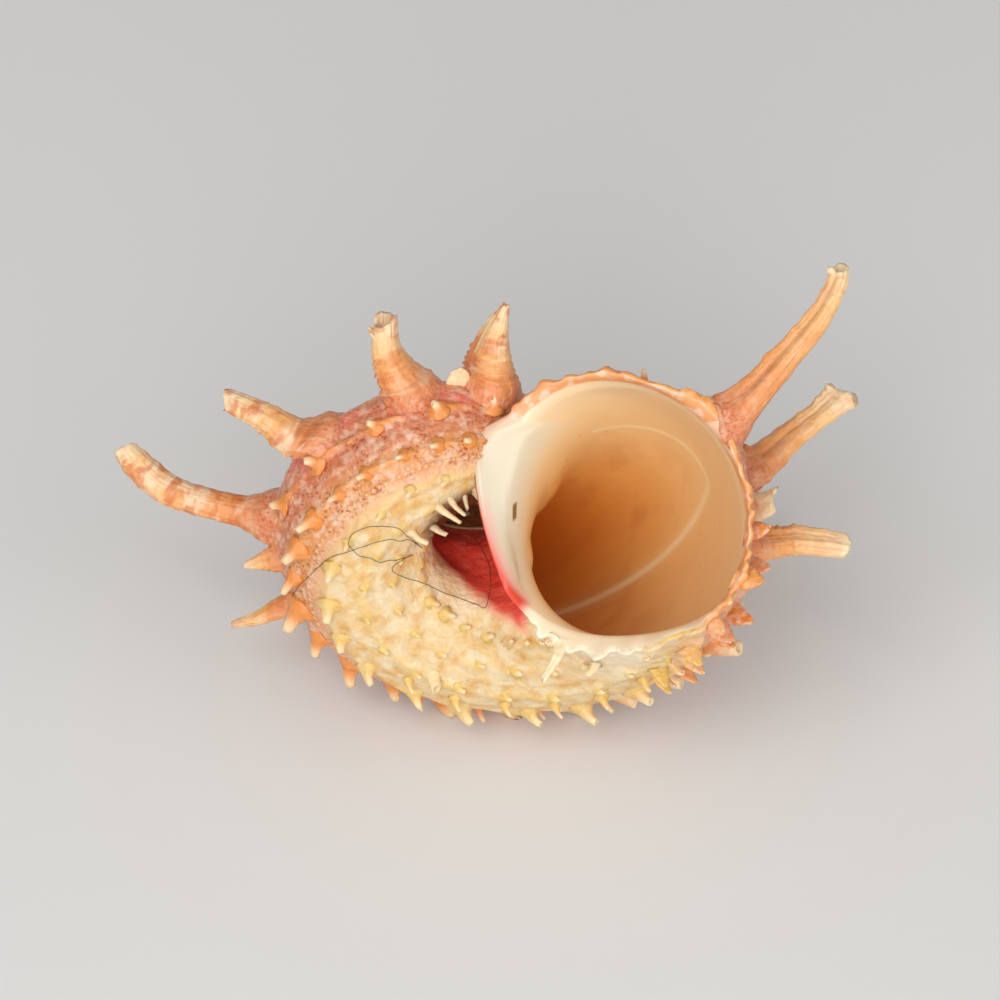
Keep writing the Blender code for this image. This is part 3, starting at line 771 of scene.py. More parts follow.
spines = []
for number, (turn, section, bands, gutter, path) in enumerate(LONG_SPINES, 1):
    rings, grain = grow_gutter(turn, section, path, number, gutter)
    spines.append(sock("spine_%02d" % number, lay(rings), grain, lap=(0.0, 360.0 * GRAIN_ROUND, 0.0)))
    strength = spines[-1].data.attributes.new("bands", "FLOAT", "POINT")
    strength.data.foreach_set("value", [bands] * len(spines[-1].data.vertices))
print(len(spines), "spines of", len(spines[0].data.polygons), "faces")

# %% [markdown]
# ## Scales and knobs
# On every cord the lip also left small hollow scales. They are many and alike, so they are worked
# out together: short bent tubes with open ends, leaning towards the growth. Copies of one scale
# would all be the same; here each has its own size and bend from a seeded draw.

# %% Rows of scales
# Section angle, first turn, spacing, last turn, reach in mm at the mouth, root share, how far bent.
SCALE_ROWS = (
    (-85, -40, 16, -360, 1.3, 0.34, 60), (-62, -14, 22, -360, 1.6, 0.40, 50),
    (-30, -366, 38, -720, 5.0, 0.34, 30), (-3, -60, 25, -311, 2.7, 0.86, 45),
    (35, -17, 15, -290, 2.7, 0.56, 75), (68, -11, 19, -290, 1.8, 0.62, 80),
    (94, -12, 21, -240, 1.1, 0.80, 95), (115, -20, 23, -240, 1.1, 0.80, 100),
    (136, -4, 21, -190, 1.4, 0.66, 100), (51, -9, 18, -130, 1.5, 0.36, 55),
    (82, -20, 19, -150, 1.4, 0.36, 60), (16, -14, 17, -130, 1.6, 0.36, 50),
)
# Scales that have not been rubbed down at the back: between which turns and below which section,
# how much longer and how much straighter they are. From TORN_LIP on, none is left at the lip.
REAR_TURNS, REAR_SECTIONS, REAR_REACH, REAR_BEND = (-215.0, -30.0), (0.0, 90.0), 1.45, 0.55
TORN_LIP, TORN_SECTIONS = -26.0, (0.0, 75.0)
SPINE_ROOM = 11.0, 12.0               # no scale stands closer to a spine, in turn and section
# How uneven they are: degrees either way, and the ranges that reach, root and bend are times.
ASTRAY, REACHES, ROOTS, BENDS = 1.0, (0.8, 1.12), (0.85, 1.15), (0.8, 1.15)


def scale_list():
    """Turn, section, reach, root share and bend of every scale, with a little seeded unevenness."""
    dice = np.random.default_rng(7)
    found = []
    for section, first, spacing, last, length, root, bend in SCALE_ROWS:
        for turn in range(first, last, -spacing):
            if any(abs(turn - at) < SPINE_ROOM[0] and abs(section - side) < SPINE_ROOM[1]
                   for at, side, *rest in LONG_SPINES):
                continue
            if turn > TORN_LIP and TORN_SECTIONS[0] < section < TORN_SECTIONS[1]:
                continue
            rear = (REAR_TURNS[0] < turn < REAR_TURNS[1]
                    and REAR_SECTIONS[0] < section < REAR_SECTIONS[1])
            size = WHORL_EXPANSION ** (turn / 360.0) * (REAR_REACH if rear else 1.0)
            found.append((turn + dice.normal(0.0, ASTRAY), section + dice.normal(0.0, ASTRAY),
                          length * size * dice.uniform(*REACHES), root * dice.uniform(*ROOTS),
                          bend * dice.uniform(*BENDS) * (REAR_BEND if rear else 1.0)))
    return np.array(found)


rows = scale_list()
print(len(rows), "scales in", len(SCALE_ROWS), "rows")

# %% All scales at once
# How far a scale is sunk, as a share of its length; its half width from root to tip with a flare
# at the root; its dent and the dent's half width in radians; how closely the points crowd round
# the dent; and its hollow end, as sizes of the last two rings and where they stand on the path.
SCALE_SUNK, SCALE_HALF, SCALE_TAPER, SCALE_FLARE = -0.16, 0.56, 0.22, (0.65, 5.0)
SCALE_DENT, SCALE_CROWDING, SCALE_END, SCALE_HOLE = (0.35, 0.6), 0.4, (0.62, 0.45), (1.0, 0.7)


def scales(rows, count=9, sides=10):
    """Bent hollow tubes: the path is an arc that turns from the wall's normal towards the growth,
    length x sine of the angle turned / bend upwards and length x (1 - cosine) / bend onwards."""
    turn, section, length, root, bend = (rows[:, n, None, None] for n in range(5))
    point, outwards, onwards, spirewards = axes_at(rows[:, 0], rows[:, 1])
    side = np.radians(rows[:, 1])[:, None]
    normal = outwards * np.cos(side) - spirewards * np.sin(side)
    second = np.cross(normal, onwards)
    share = np.concatenate([[SCALE_SUNK], np.linspace(0.0, 1.0, count - 3), SCALE_HOLE])[None, :, None]
    risen = np.clip(share, 0.0, 1.0)
    turned = np.radians(bend)
    rise = length * np.sin(turned * share) / turned
    go = length * (1.0 - np.cos(turned * share)) / turned
    v = np.linspace(0.0, math.tau, sides, endpoint=False)[None, None]
    angle = v - SCALE_CROWDING * np.sin(v)
    flare = SCALE_FLARE[0] * np.exp(-np.maximum(share, 0.0) * SCALE_FLARE[1])
    half = length * root * (SCALE_HALF - SCALE_TAPER * share + flare)
    half = half * np.array([1.0] * (count - 2) + list(SCALE_END))[None, :, None]
    deep, wide = SCALE_DENT
    half = half * (1.0 - deep * np.exp(-(wrap(angle) / wide) ** 2) * risen)
    along = go + half * np.cos(angle) * np.cos(turned * risen)
    up = rise - half * np.cos(angle) * np.sin(turned * risen)
    across = half * np.sin(angle)
    rings = point[:, None, None] + MM * (onwards[:, None, None] * along[..., None]
                                         + normal[:, None, None] * up[..., None]
                                         + second[:, None, None] * across[..., None])
    return rings, np.stack(np.broadcast_arrays(turn, section, 1.0 + risen, across)[:3], axis=-1)


rings, grown = scales(rows)
small_scales = sock("scales", lay(rings), grown)
print("each scale has", len(small_scales.data.polygons) // len(rows), "faces")

# %% [markdown]
# ## Fingers, flaps and torn spikes
# Where a cord meets the navel or the lip's base, its last scales hang over as thin curved fingers.
# Flat remnants of old lips and torn spikes stand beside the outer lip. They use the spines' gutter
# with fewer points, because a bent, tapering tube is what all of them are; only their paths and
# how flat they are differ.

# %% Where they stand
# Fingers: turn, section and path, as for the spines.
FINGERS = (
    (-248, 106, ((0.0, 0.0, 0.0, 0.55), (-0.6, -0.5, -0.5, 0.36), (-1.5, -1.0, -1.0, 0.28))),
    (-262, 129, ((0.0, 0.0, 0.0, 0.50), (-0.4, -0.7, -0.4, 0.33), (-0.9, -1.2, -0.8, 0.26))),
    (-272, 97, ((0.0, 0.0, 0.0, 0.60), (0.0, -1.0, -0.7, 0.38), (-1.0, -2.1, -1.6, 0.26))),
    (-281, 93, ((0.0, 0.0, 0.0, 0.50), (0.0, -0.6, -0.8, 0.33), (-0.6, -1.4, -1.5, 0.24))),
    (-298, 89, ((0.0, 0.0, 0.0, 0.60), (0.2, -0.7, -1.1, 0.36), (-0.4, -1.7, -2.3, 0.26))),
    (-292, 92, ((0.0, 0.0, 0.0, 0.35), (-0.2, -0.1, -0.8, 0.24), (-0.3, -0.2, -1.3, 0.20))),
    (-4, 132, ((0.0, 0.0, 0.0, 0.70), (-0.6, 0.1, -1.7, 0.50), (-2.4, -1.3, -3.2, 0.36))),
    (-87, 138, ((0.0, 0.0, 0.0, 0.50), (-0.6, 0.0, -0.7, 0.34), (-1.4, -0.3, -1.4, 0.24))),
    (-75, 137, ((0.0, 0.0, 0.0, 0.50), (-0.6, 0.0, -0.8, 0.34), (-1.5, -0.4, -1.8, 0.24))),
    (-34, 112, ((0.0, 0.0, 0.0, 0.50), (-0.3, -0.2, -0.8, 0.34), (-1.0, -0.6, -1.4, 0.24))),
    (-130, 96, ((0.0, 0.0, 0.0, 0.90), (0.1, 0.1, -0.7, 0.66), (0.2, 0.3, -1.3, 0.62))),
)
# Flat torn remnants of old lips: turn, section, path and how flat they are.
FLAPS = (
    (-10, -4, ((0.0, 0.0, 0.0, 1.7), (1.2, 0.1, 0.0, 1.5), (2.4, 0.2, 0.1, 1.45)), 0.26),
    (-311, -31, ((0.0, 0.0, 0.0, 0.30), (0.6, 0.2, 0.6, 0.26), (1.0, 0.4, 1.1, 0.12)), 4.0),
    (-290, -33, ((5.0, 0.9, 3.0, 0.7), (5.8, 1.0, 3.4, 0.75), (6.5, 1.3, 3.6, 0.5)), 0.25),
)
# Short torn spikes of the last frills: turn, section, length and half width in mm.
TORN = ((-2, 34, 2.2, 1.4), (-8, 22, 2.2, 1.3), (-13, 42, 2.6, 1.3), (-9, 58, 2.6, 1.3),
        (-19, 50, 2.4, 1.1), (-15, 72, 2.4, 1.1), (-24, 66, 2.4, 1.1), (-30, 80, 2.0, 0.9),
        (-4, 10, 1.8, 1.2), (-38, 70, 2.0, 0.9), (-2, 62, 2.0, 1.0), (-34, 58, 2.4, 1.1))
print(len(FINGERS), "fingers,", len(FLAPS), "flaps and", len(TORN), "torn spikes")

# %% Grow them with the spines' gutter
# Gutter, raggedness and flatness of each kind, and the rise that picks their colour: whole ones
# are pale as a ridge is, torn ones fade from rust to pale along their length.
FINGER_KIND, FLAP_KIND, TORN_KIND = (0.3, 0.04, 0.82), (0.0, 0.06), (0.2, 0.07, 0.45)
WHOLE_RISE, TORN_RISE, FIRST_SEED = (1, 1.5), (0.8, 0.6), 60
# A torn spike bends onwards and thins: its middle as (share of the way, mm onwards, half width)
# and its tip as (onwards, half width), the widths and the tip's bend as shares of the half width.
TORN_MIDDLE, TORN_TIP = (0.5, 0.1, 0.7), (0.3, 0.25)

parts = [(turn, section, path, *FINGER_KIND) for turn, section, path in FINGERS]
parts += [(turn, section, path, *FLAP_KIND, flat) for turn, section, path, flat in FLAPS]
for turn, section, length, half in TORN:
    out, down = length * math.cos(math.radians(section)), -length * math.sin(math.radians(section))
    way, bend, thin = TORN_MIDDLE
    path = ((0.0, 0.0, 0.0, half), (way * out, bend, way * down, thin * half),
            (out, TORN_TIP[0] * half, down, TORN_TIP[1] * half))
    parts.append((turn, section, path, *TORN_KIND))
made, grown = [], []
for n, (turn, section, path, gutter, ragged, flat) in enumerate(parts):
    rings, grain = grow_gutter(turn, section, path, FIRST_SEED + n, gutter, sides=14, count=16,
                               ragged=ragged, flat=flat)
    gain, start = WHOLE_RISE if n < len(FINGERS) + len(FLAPS) else TORN_RISE
    made.append(rings)
    grown.append(grain * (0.0, 0.0, gain) + (turn, section, start))
fingers = sock("fingers", lay(np.array(made)), np.array(grown))
print(len(parts), "pieces of", len(fingers.data.polygons) // len(parts), "faces")

# %% [markdown]
# ## Stray hairs
# Two fine dark hairs cling to this shell and hang in a loop across the navel. Each is a thin tube
# carried along a smooth line of turn, section and lift over the skin, so it follows the surface
# but bridges the hollows. A curve with a bevel would do as well, but it would not follow the skin.

# %% Hairs that lie on the shell
# Each hair: turn, section and lift in mm.
HAIRS = (
    ((-176, 36, 0.5), (-192, 52, 0.5), (-209, 64, 0.3), (-218, 73, 0.4), (-234, 86, 0.5), (-248, 98, 1.0),
     (-252, 112, 1.5), (-248, 89, 0.8), (-236, 73, 0.6), (-227, 66, 0.5), (-221, 68, 0.4),
     (-219, 78, 0.4), (-223, 89, 0.6), (-231, 106, 0.9), (-241, 114, 1.2)),
    ((-241, 112, 1.2), (-225, 110, 0.5), (-218, 110, 0.4), (-213, 119, 0.5), (-195, 136, 0.5),
     (-153, 148, 0.4), (-119, 152, 0.5), (-107, 152, 0.6), (-99, 155, 0.8), (-96, 161, 1.0),
     (-98, 168, 1.1), (-104, 176, 1.1), (-117, 188, 0.9), (-133, 200, 0.7)),
)
HAIR_RADIUS = 0.04 * MM
HAIR_GRAIN = 0.5                      # the pattern's step from one station to the next
AWRY = (0.3, 0.5, 0.81)               # a direction that no hair runs along, to start its circles


def on_skin(turn, section, lift):
    """Points of the outside at turns and sections, lifted off it along the section's direction."""
    turn, section = np.radians(turn), np.radians(section)
    radius = smooth_radius(turn, section) + sculpture(turn, section)
    size = growth(turn + lean(section))
    return place(turn, section, radius + lift * MM / size)


def strand(stations, sides=5, count=160):
    """A thin tube: a circle of one radius, square to a smooth line of (turn, section, lift)."""
    line = on_skin(*smooth_path(stations, count).T)
    ahead = unit(np.gradient(line, axis=0))
    first = unit(np.cross(ahead, AWRY))
    second = np.cross(ahead, first)
    v = np.linspace(0.0, math.tau, sides, endpoint=False)[None, :, None]
    rings = line[:, None] + HAIR_RADIUS * (first[:, None] * np.cos(v) + second[:, None] * np.sin(v))
    grown = np.zeros(rings.shape)
    grown[..., 0] = HAIR_GRAIN * np.arange(count)[:, None]
    return rings, grown


made = [strand(stations) for stations in HAIRS]
hairs = sock("stray_hairs", lay(np.array([rings for rings, grown in made])),
             np.array([grown for rings, grown in made]))
print(len(HAIRS), "hairs,", 2 * HAIR_RADIUS / MM, "mm thick")

# %% [markdown]
# ## The first whorl
# The coil starts in a tiny bulb, the shell that the snail hatched with. A sphere laid over the
# opening would show as one; a flattened ball whose radius swings a little closes the middle of the
# spire there like a worn first whorl.

# %% The bulb at the tip of the spire
BULB_WIDE, BULB_TALL = 2.1 * MM, 1.3 * MM
BULB_RINGS, BULB_SIDES = 15, 24
POLE_END = 0.47                       # where its rings end; a pole is at 0.5
SWIRL, SWIRL_SLANT = 0.06, 3.0        # how uneven it is, and how the unevenness winds round it
BULB_ZONE = 20.0, -60.0               # it has the colours of these sections: either way, middle
lat, lon = np.meshgrid(np.linspace(-POLE_END, POLE_END, BULB_RINGS) * math.pi,
                       np.linspace(0.0, math.tau, BULB_SIDES, endpoint=False), indexing="ij")
swirl = 1.0 + SWIRL * np.sin(SWIRL_SLANT * lat + lon)
rings = np.stack([BULB_WIDE * np.cos(lat) * np.cos(lon) * swirl,
                  BULB_WIDE * np.cos(lat) * np.sin(lon) * swirl,
                  AXIS_HEIGHT * growth(OUTER_TURNS[0]) + BULB_TALL * np.sin(lat) * swirl], axis=-1)
grown = np.stack([np.degrees(lon) + FIRST_TURN, BULB_ZONE[0] * np.sin(lat) + BULB_ZONE[1],
                  0.0 * lat], axis=-1)
bulb = sock("first_whorl", lay(rings), grown, lap=(360.0, 0.0, 0.0))
print("bulb", 2 * BULB_WIDE / MM, "mm across")

# %% [markdown]
# ## How every finish is put together
# Each finish is written as a few tables, like a painter's order of work: which grains there are and
# how long they are in mm, which colours lie over each other and where, and what makes the relief.
# One function reads the tables and adds the nodes, so a change of colour is a change of one line.
# The patterns read the growth numbers, or Object coordinates where they have no direction.

# %% Where a colour lies
# One degree of turn at the mouth's outer edge, and one degree of section there, in mm.
MM_PER_TURN_DEGREE, MM_PER_SECTION_DEGREE = 0.57, 0.24


def product(tree, fields, steps):
    """The product of smooth steps, each a field, where it is low and high, and the two values."""
    amount = None
    for field, low, high, *ends in steps:
        least, most = ends or (0.0, 1.0)
        part = add(tree, "ShaderNodeMapRange", {0: fields[field], 1: low, 2: high, 3: least, 4: most},
                   interpolation_type="SMOOTHSTEP").outputs[0]
        if amount is not None:
            part = add(tree, "ShaderNodeMath", {0: amount, 1: part}, operation="MULTIPLY").outputs[0]
        amount = part
    return amount


print("one degree of turn is", round(math.tau * (AXIS_RADIUS + TUBE_RADIUS) / MM / 360.0, 3),
      "mm at the mouth, one of section", round(math.tau * TUBE_RADIUS / MM / 360.0, 3), "mm")

# %% From tables to a material
GRAIN_SHIFT = (17.3, 5.1, 3.7)        # moves each noise away from the one before it


def finish_of(name, surface, unit_mm, grains, sums, ramp, layers, relief, depth):
    """A material from tables.

    surface holds the shader's own sockets. unit_mm is the mm that one step of the first two growth
    numbers stands for. grains are noises as name, mm along, mm across and detail; one with nothing
    across is solid and even in all directions. sums are names with a maths operation and its
    values. ramp is a field, its range and the colours along it. layers are colours with the smooth
    steps that say where each lies. relief is products of smooth steps, added up as a height of the
    given depth.
    """
    material = bpy.data.materials.new(name)
    material.use_nodes = True
    tree = material.node_tree
    shader = tree.nodes["Principled BSDF"]
    for socket, value in surface.items():
        shader.inputs[socket].default_value = value
    grown = add(tree, "ShaderNodeAttribute", attribute_name="growth").outputs["Vector"]
    fields = dict(zip(("turn", "section", "rise"), add(tree, "ShaderNodeSeparateXYZ", {0: grown}).outputs))
    fields["bands"] = add(tree, "ShaderNodeAttribute", attribute_name="bands").outputs["Fac"]
    solid = add(tree, "ShaderNodeTexCoord").outputs["Object"]
    for number, (grain, along, across, detail) in enumerate(grains, 1):
        source, size = solid, (1.0 / (along * MM),) * 3
        if across:
            source, size = grown, (unit_mm[0] / along, unit_mm[1] / across, 0.0)
        shift = tuple(part * number for part in GRAIN_SHIFT)
        sized = add(tree, "ShaderNodeVectorMath", {0: source, 1: size, 2: shift},
                    operation="MULTIPLY_ADD").outputs[0]
        fields[grain] = add(tree, "ShaderNodeTexNoise",
                            {"Vector": sized, "Scale": 1.0, "Detail": detail}).outputs[0]
    for result, operation, *values in sums:
        inputs = {n: fields[v] if isinstance(v, str) else v for n, v in enumerate(values)}
        fields[result] = add(tree, "ShaderNodeMath", inputs, operation=operation).outputs[0]
    field, low, high, stops = ramp
    share = add(tree, "ShaderNodeMapRange", {0: fields[field], 1: low, 2: high}).outputs[0]
    stops = [((at - low) / (high - low), code) for at, code in stops]
    colour = add(tree, "ShaderNodeValToRGB", {0: share}, stops=stops).outputs[0]
    for code, *steps in layers:
        colour = add(tree, "ShaderNodeMix", {0: product(tree, fields, steps), 6: colour, 7: rgb(code)},
                     data_type="RGBA").outputs[2]
    tree.links.new(colour, shader.inputs["Base Color"])
    height = 0.0
    for steps in relief:
        height = add(tree, "ShaderNodeMath", {0: product(tree, fields, steps), 1: height},
                     operation="ADD").outputs[0]
    bumped = add(tree, "ShaderNodeBump", {"Height": height, "Strength": 1.0, "Distance": depth})
    tree.links.new(bumped.outputs[0], shader.inputs["Normal"])
    return material


print("materials so far:", sorted(made.name for made in bpy.data.materials))

# %% [markdown]
# ## The chalky crust
# The outside is aragonite laid down in fine growth lines: a hard, chalky mineral with a damp shine.
# That gives the eye a broken, soft gloss and colour in zones that follow the cords: coral and
# salmon with rust speckles at the shoulder, orange on the ridges, cream and yellow at the base, and
# crimson in the navel. A painted image would stretch on the coil. Here a ramp over the section
# gives the zones, and noises of real sizes, from 0.3 mm specks to 2.6 mm blushes, break them up.

# %% Crust of the outside
# Where on the tube a layer lies: the base, the shoulder, beside the axis, and on one beaded cord.
ON_BASE = (("section", 60, 72), ("section", 182, 170))
ON_SHOULDER = (("section", -75, -30), ("section", 65, 51))
BY_AXIS = (("section", 224, 208),)
BEAD_ROW = (("section", 48.3, 50.7), ("section", 53.7, 51.3))
crust = finish_of(
    "aragonite crust",
    {"Roughness": 0.40, "IOR": 1.53, "Coat Weight": 0.2, "Coat Roughness": 0.25,
     "Subsurface Weight": 0.2, "Subsurface Radius": (1.0, 0.5, 0.3), "Subsurface Scale": 0.8 * MM},
    (MM_PER_TURN_DEGREE, MM_PER_SECTION_DEGREE),
    (("wander", 2.2, None, 4), ("patches", 2.2, None, 3), ("specks", 0.30, None, 4), ("veil", 1.1, None, 5),
     ("blush", 2.6, None, 3), ("streaks", 1.0, 9.0, 3), ("honey", 1.9, None, 3), ("chalk", 1.6, None, 5),
     ("torn", 0.7, None, 2), ("grit", 0.5, None, 3), ("lumps", 1.5, None, 3), ("lines", 0.45, 4.0, 2),
     ("embers", 1.4, None, 4)),
    # zone is the section with ragged borders; axisward is zone where the navel's edge is level, and
    # ebbs near the lip; under grows into the depth of the navel; beads is a wave along the turn.
    (("strayed", "MULTIPLY_ADD", "wander", 12.0, -6.0), ("zone", "ADD", "section", "strayed"),
     ("late", "MAXIMUM", "turn", -60.0), ("ebb", "MULTIPLY_ADD", "late", -0.5, -30.0),
     ("slanted", "MULTIPLY_ADD", "turn", 0.2, "zone"), ("axisward", "ADD", "slanted", "ebb"),
     ("under", "MULTIPLY_ADD", "turn", -1.32, "zone"), ("rows", "MULTIPLY", "turn", 2.0),
     ("beads", "SINE", "rows")),
    ("zone", -100.0, 260.0, (
        (-100, "#d9906a"), (-80, "#e29c76"), (-60, "#de8a68"), (-44, "#e08c64"), (-31, "#e2925c"),
        (-22, "#d8785a"), (-12, "#d68052"), (-3, "#de8c4a"), (5, "#d2744a"), (22, "#d88858"),
        (35, "#e2984e"), (50, "#de9458"), (57, "#e4aa7a"), (66, "#e8be80"), (76, "#e9c48c"),
        (94, "#eac684"), (104, "#ebcc98"), (136, "#e8c486"), (150, "#ebcc9c"), (208, "#d8886a"),
        (232, "#b9684e"), (260, "#d9906a"))),
    # Rust specks, a pale veil, a blush above the keel and pale growth streaks.
    (("#9c4430", ("specks", 0.49, 0.62), ("patches", 0.34, 0.56, 0.2, 0.85), ("rise", 0.7, 0.25),
      *ON_SHOULDER),
     ("#f4ccae", ("veil", 0.43, 0.67, 0.0, 0.6), *ON_SHOULDER),
     ("#e86a58", ("blush", 0.46, 0.60, 0.0, 0.65), ("section", -40, -26), ("section", 6, -8)),
     ("#eeb68e", ("streaks", 0.46, 0.76, 0.0, 0.4), ("section", 6, -14)),
     # Honey and chalk on the base; orange and yellow on the ridges' knobs.
     ("#dba452", ("honey", 0.42, 0.68, 0.0, 0.8), *ON_BASE),
     ("#eadbb8", ("chalk", 0.40, 0.66, 0.0, 0.7), *ON_BASE),
     ("#e88f40", ("rise", 0.25, 0.95, 0.0, 0.9), ("section", 66, 52)),
     ("#e9c060", ("rise", 0.2, 0.8, 0.0, 0.75), *ON_BASE),
     # The last growth: white on the base, pink where the outer lip is torn.
     ("#f7ead0", ("turn", -60, -6), ("section", 78, 104, 0.0, 0.85), ("section", 182, 170)),
     ("#f2b8a0", ("turn", -48, -12), ("torn", 0.4, 0.6, 0.0, 0.75), ("section", 82, 66),
      ("section", -30, -16)),
     # The navel: a pink border, then crimson that deepens, embers in it, and brown in its depth.
     ("#f0a284", ("axisward", 126, 134, 0.0, 0.7), *BY_AXIS),
     ("#e4503f", ("axisward", 132, 139), *BY_AXIS),
     ("#f04c38", ("axisward", 139, 152), *BY_AXIS),
     ("#c42a18", ("axisward", 160, 190), *BY_AXIS),
     ("#ee6a58", ("embers", 0.48, 0.66, 0.0, 0.45), ("axisward", 136, 146), *BY_AXIS),
     ("#54300f", ("under", 440, 486), ("section", 78, 92), *BY_AXIS),
     ("#f04c38", ("turn", -46, -16), ("section", 160, 170), *BY_AXIS),
     # The lip's orange edge, the beads, and the worn pale tips.
     ("#f2a860", ("turn", -5, -1.5), ("section", 74, 50), ("torn", 0.35, 0.6, 0.3, 1.0)),
     ("#f2cc94", ("beads", -0.2, 0.8, 0.0, 0.6), *BEAD_ROW),
     ("#f8dcb0", ("rise", 1.25, 1.9, 0.0, 0.85))),
    # Relief: growth lines on the shoulder, grit, soft lumps and the beads.
    ((("lines", 0.0, 1.0, 0.0, 0.3), ("section", 66, 20)), (("grit", 0.0, 1.0, 0.0, 0.35),),
     (("lumps", 0.0, 1.0, 0.0, 2.2),),
     (("beads", -1.0, 1.0, 0.0, 0.5), *BEAD_ROW)),
    0.15 * MM)
print(len(crust.node_tree.nodes), "nodes in the crust")

# %% [markdown]
# ## The glaze inside
# The snail lines the tube with nacre and, beside the axis, a thick white callus. Both are polished
# by its body, which gives the eye a clear gloss over a colour that seems to lie deeper. Through the
# mouth the lining deepens from ivory to amber with the turn, so the ramp runs over the turn; one
# pale line crosses it, climbing with the turn and then bending back, and the inner lip has a red stain.

# %% Glaze of the inside and the lip
# How near to the pale line its bright core and its soft border are, and where the stain lies.
PALE_LINE = (("near", 3.4, 0.3, 0.0, 0.75),), (("near", 10.0, 0.0, 0.0, 0.35),)
STAINED = (("section", 158, 170), ("section", 233, 216))
glaze = finish_of(
    "porcelain glaze over nacre",
    {"Roughness": 0.28, "IOR": 1.53, "Coat Weight": 0.25, "Coat Roughness": 0.18},
    (MM_PER_TURN_DEGREE, MM_PER_SECTION_DEGREE),
    (("clouds", 9.0, 5.0, 2), ("waves", 3.0, 9.0, 1), ("drift", 1.6, None, 3), ("flecks", 1.0, 1.0, 1)),
    # deep is the turn with soft borders; near is the distance from a line that climbs with the
    # turn and then bends back; stain is the nearness to the lip's edge, more so at its upper end.
    (("clouded", "MULTIPLY_ADD", "clouds", 16.0, -8.0), ("deep", "ADD", "turn", "clouded"),
     ("line", "MULTIPLY_ADD", "turn", -0.27, -51.2), ("above", "SUBTRACT", "line", "section"),
     ("behind", "MULTIPLY_ADD", "turn", -2.2, -92.4), ("corner", "MINIMUM", "above", "behind"),
     ("near", "ABSOLUTE", "corner"), ("slope", "MULTIPLY_ADD", "section", -0.006, 0.99),
     ("stain", "ADD", "rise", "slope")),
    ("deep", -160.0, 0.0, ((-160, "#cc6618"), (-128, "#d97824"), (-99, "#e2903c"), (-72, "#e9aa60"),
                           (-45, "#f1c486"), (-19, "#f5d2a0"), (-6, "#f4d8ae"), (0, "#f4dcb8"))),
    # Darker clouds, painted light on the base side of the hollow, the pale line, and the white callus.
    (("#c96e28", ("clouds", 0.46, 0.66, 0.0, 0.35), ("turn", -30, -80)),
     # Painted light: the base side of the hollow is made lighter where the light falls into it.
     ("#f0b060", ("section", 30, 100, 0.0, 0.45), ("section", 200, 150), ("turn", -20, -60)),
     ("#f0cc90", *PALE_LINE[1]), ("#f6dca8", *PALE_LINE[0]),
     ("#e5d7bb", ("section", 150, 192), ("section", 276, 248), ("turn", -36, -8)),
     # The lip's edge: flesh at its upper corner, peach, then orange with pale drifts.
     ("#e2a884", ("rise", 0.82, 1.0, 0.0, 0.6), ("section", 232, 244)),
     ("#f2c29c", ("turn", -3.5, -0.5, 0.0, 0.6), ("section", -94, -66), ("section", 44, 16)),
     ("#e9a065", ("rise", 0.90, 0.96), ("section", 74, 50)),
     ("#f6d0b4", ("drift", 0.45, 0.60, 0.0, 0.8), ("rise", 0.90, 0.96), ("section", 74, 50)),
     # The red stain beside the navel, one brown fleck of dirt, and dust.
     ("#f4baa8", ("stain", 0.25, 0.72), *STAINED), ("#e94834", ("stain", 0.60, 0.92), *STAINED),
     ("#86602a", ("turn", -14.5, -13.0), ("turn", -9.5, -11.0), ("section", 212, 214.5),
      ("section", 223, 220.5)),
     ("#8a5428", ("flecks", 0.79, 0.81, 0.0, 0.7), ("turn", -6, -12))),
    ((("waves", 0.0, 1.0, 0.0, 0.5),),),
    0.06 * MM)
print(len(glaze.node_tree.nodes), "nodes in the glaze")

# %% [markdown]
# ## The spines' finish
# A spine is the same aragonite as the crust, but made at the lip's edge in short stops. That gives
# the eye a drier, fibrous look with pale and orange bands across it. It pales towards its worn
# tip, while its root keeps the crust's red specks. Its own length and the angle round it carry the
# pattern, so that the bands lie square to each spine however it bends.

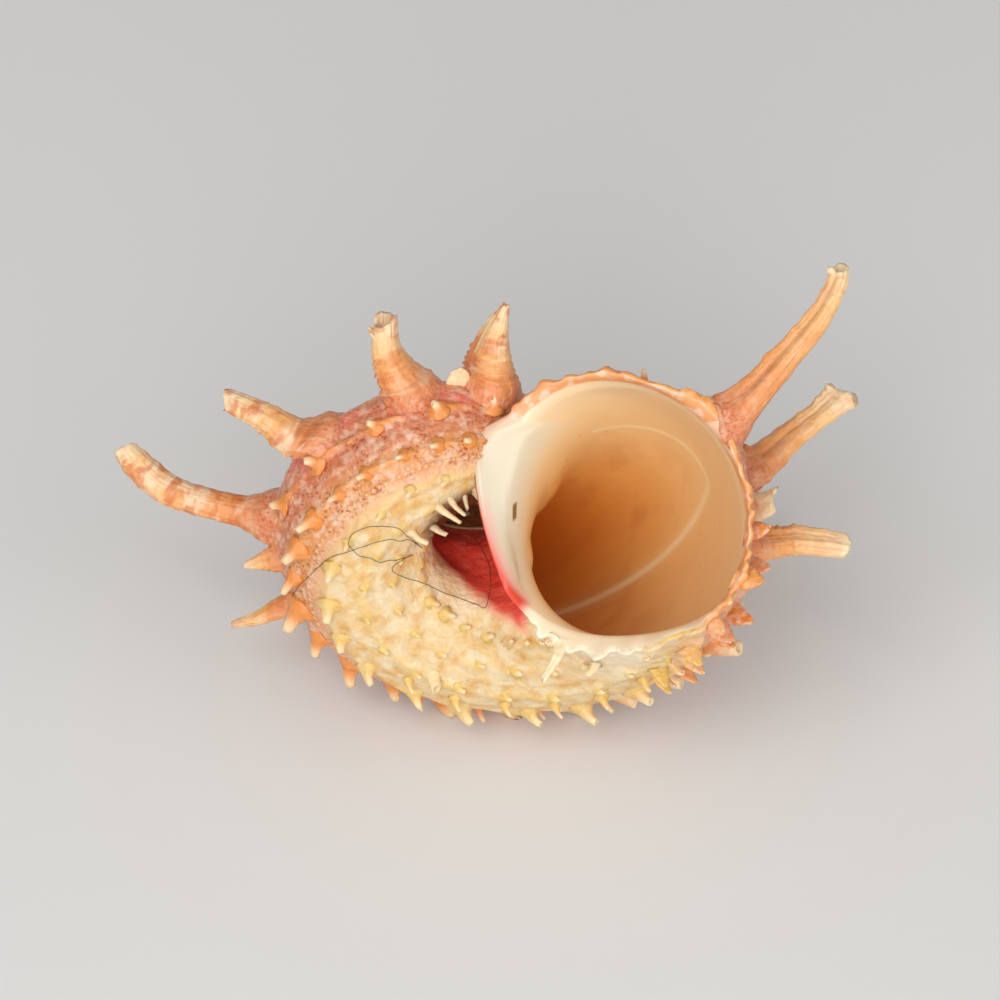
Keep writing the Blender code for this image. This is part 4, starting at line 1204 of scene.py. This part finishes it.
# %% Spine finish
# Bands are as strong as each spine says, and leave its root alone.
BANDED = (("bands", 0.0, 1.0), ("rise", 0.05, 0.22))
banded_aragonite = finish_of(
    "banded aragonite of the spines",
    {"Roughness": 0.45, "IOR": 1.53, "Coat Weight": 0.1, "Coat Roughness": 0.3,
     "Subsurface Weight": 0.15, "Subsurface Radius": (1.0, 0.5, 0.3), "Subsurface Scale": 0.6 * MM},
    (1.0, 1.0),
    (("pale", 1.6, 3.6, 2), ("rust", 1.2, 2.6, 3), ("fibres", 5.0, 0.3, 3), ("pink", 2.2, 0.8, 3),
     ("specks", 0.35, None, 3), ("veil", 1.0, None, 4), ("ribs", 4.0, 0.4, 3), ("lumps", 1.0, None, 3)),
    (),
    ("rise", 0.0, 1.0, ((0.0, "#da8258"), (0.2, "#e49054"), (0.5, "#f1ac64"), (0.8, "#f8cc90"),
                        (1.0, "#fce2b8"))),
    (("#f6d6b0", ("pale", 0.46, 0.62, 0.0, 0.8), *BANDED),
     ("#d47230", ("rust", 0.46, 0.62, 0.0, 0.8), *BANDED),
     ("#c4683c", ("fibres", 0.50, 0.70, 0.0, 0.3)),
     ("#f0ba8c", ("pink", 0.50, 0.68, 0.0, 0.45)),
     ("#ecb490", ("veil", 0.50, 0.62, 0.0, 0.5), ("rise", 0.26, 0.04)),
     ("#a04a38", ("specks", 0.50, 0.66, 0.0, 0.6), ("rise", 0.16, 0.02))),
    ((("ribs", 0.0, 1.0, 0.0, 0.8),), (("lumps", 0.0, 1.0, 0.0, 1.2),)),
    0.17 * MM)
print(len(banded_aragonite.node_tree.nodes), "nodes in the spines' finish")

# %% [markdown]
# ## The hairs' finish
# A hair is dark brown keratin. The colour drifts along it, and fine scales across it break its shine
# into a silky one. Real scales stand some 0.01 mm apart, too fine to show, so they are drawn some
# thirty times as coarse.

# %% Hair finish
keratin = finish_of(
    "dark keratin hair",
    {"Roughness": 0.45, "IOR": 1.55}, (1.0, 1.0),
    (("drift", 6.0, 1.0, 2), ("cuticle", 0.3, 1.0, 1)), (),
    ("drift", 0.0, 1.0, ((0.0, "#2e2018"), (1.0, "#5e4430"))),
    (("#6a4e38", ("cuticle", 0.5, 0.7, 0.0, 0.3)),),
    ((("cuticle", 0.0, 1.0),),), 0.01 * MM)
print(len(keratin.node_tree.nodes), "nodes in the hairs' finish")

# %% [markdown]
# ## Dressing the pieces
# The skin is one mesh with two finishes: its first faces are the outside and the beginning of the
# rolled lip, the others the rest of the lip and the inside. Splitting it in two would open a seam
# at the lip, so a material index for each face parts them instead. Every other piece has one finish.

# %% Dress the pieces
whorls.data.materials.append(crust)
whorls.data.materials.append(glaze)
sides = len(SECTIONS)
CRUST_ON_LIP = 2                      # so many rows of the rolled lip's faces are still crust
kinds = np.zeros(len(whorls.data.polygons), dtype=np.int32)
kinds[(len(OUTER_TURNS) - 1 + CRUST_ON_LIP) * sides:] = 1
kinds[-2 * sides:-sides] = 0          # the fan that closes the tube at the apex
whorls.data.polygons.foreach_set("material_index", kinds)
DRESS = (((small_scales, fingers, bulb), crust), (spines, banded_aragonite), ((hairs,), keratin))
for pieces, finish in DRESS:
    for piece in pieces:
        piece.data.materials.append(finish)
print(int(kinds.sum()), "glazed faces of", len(kinds))
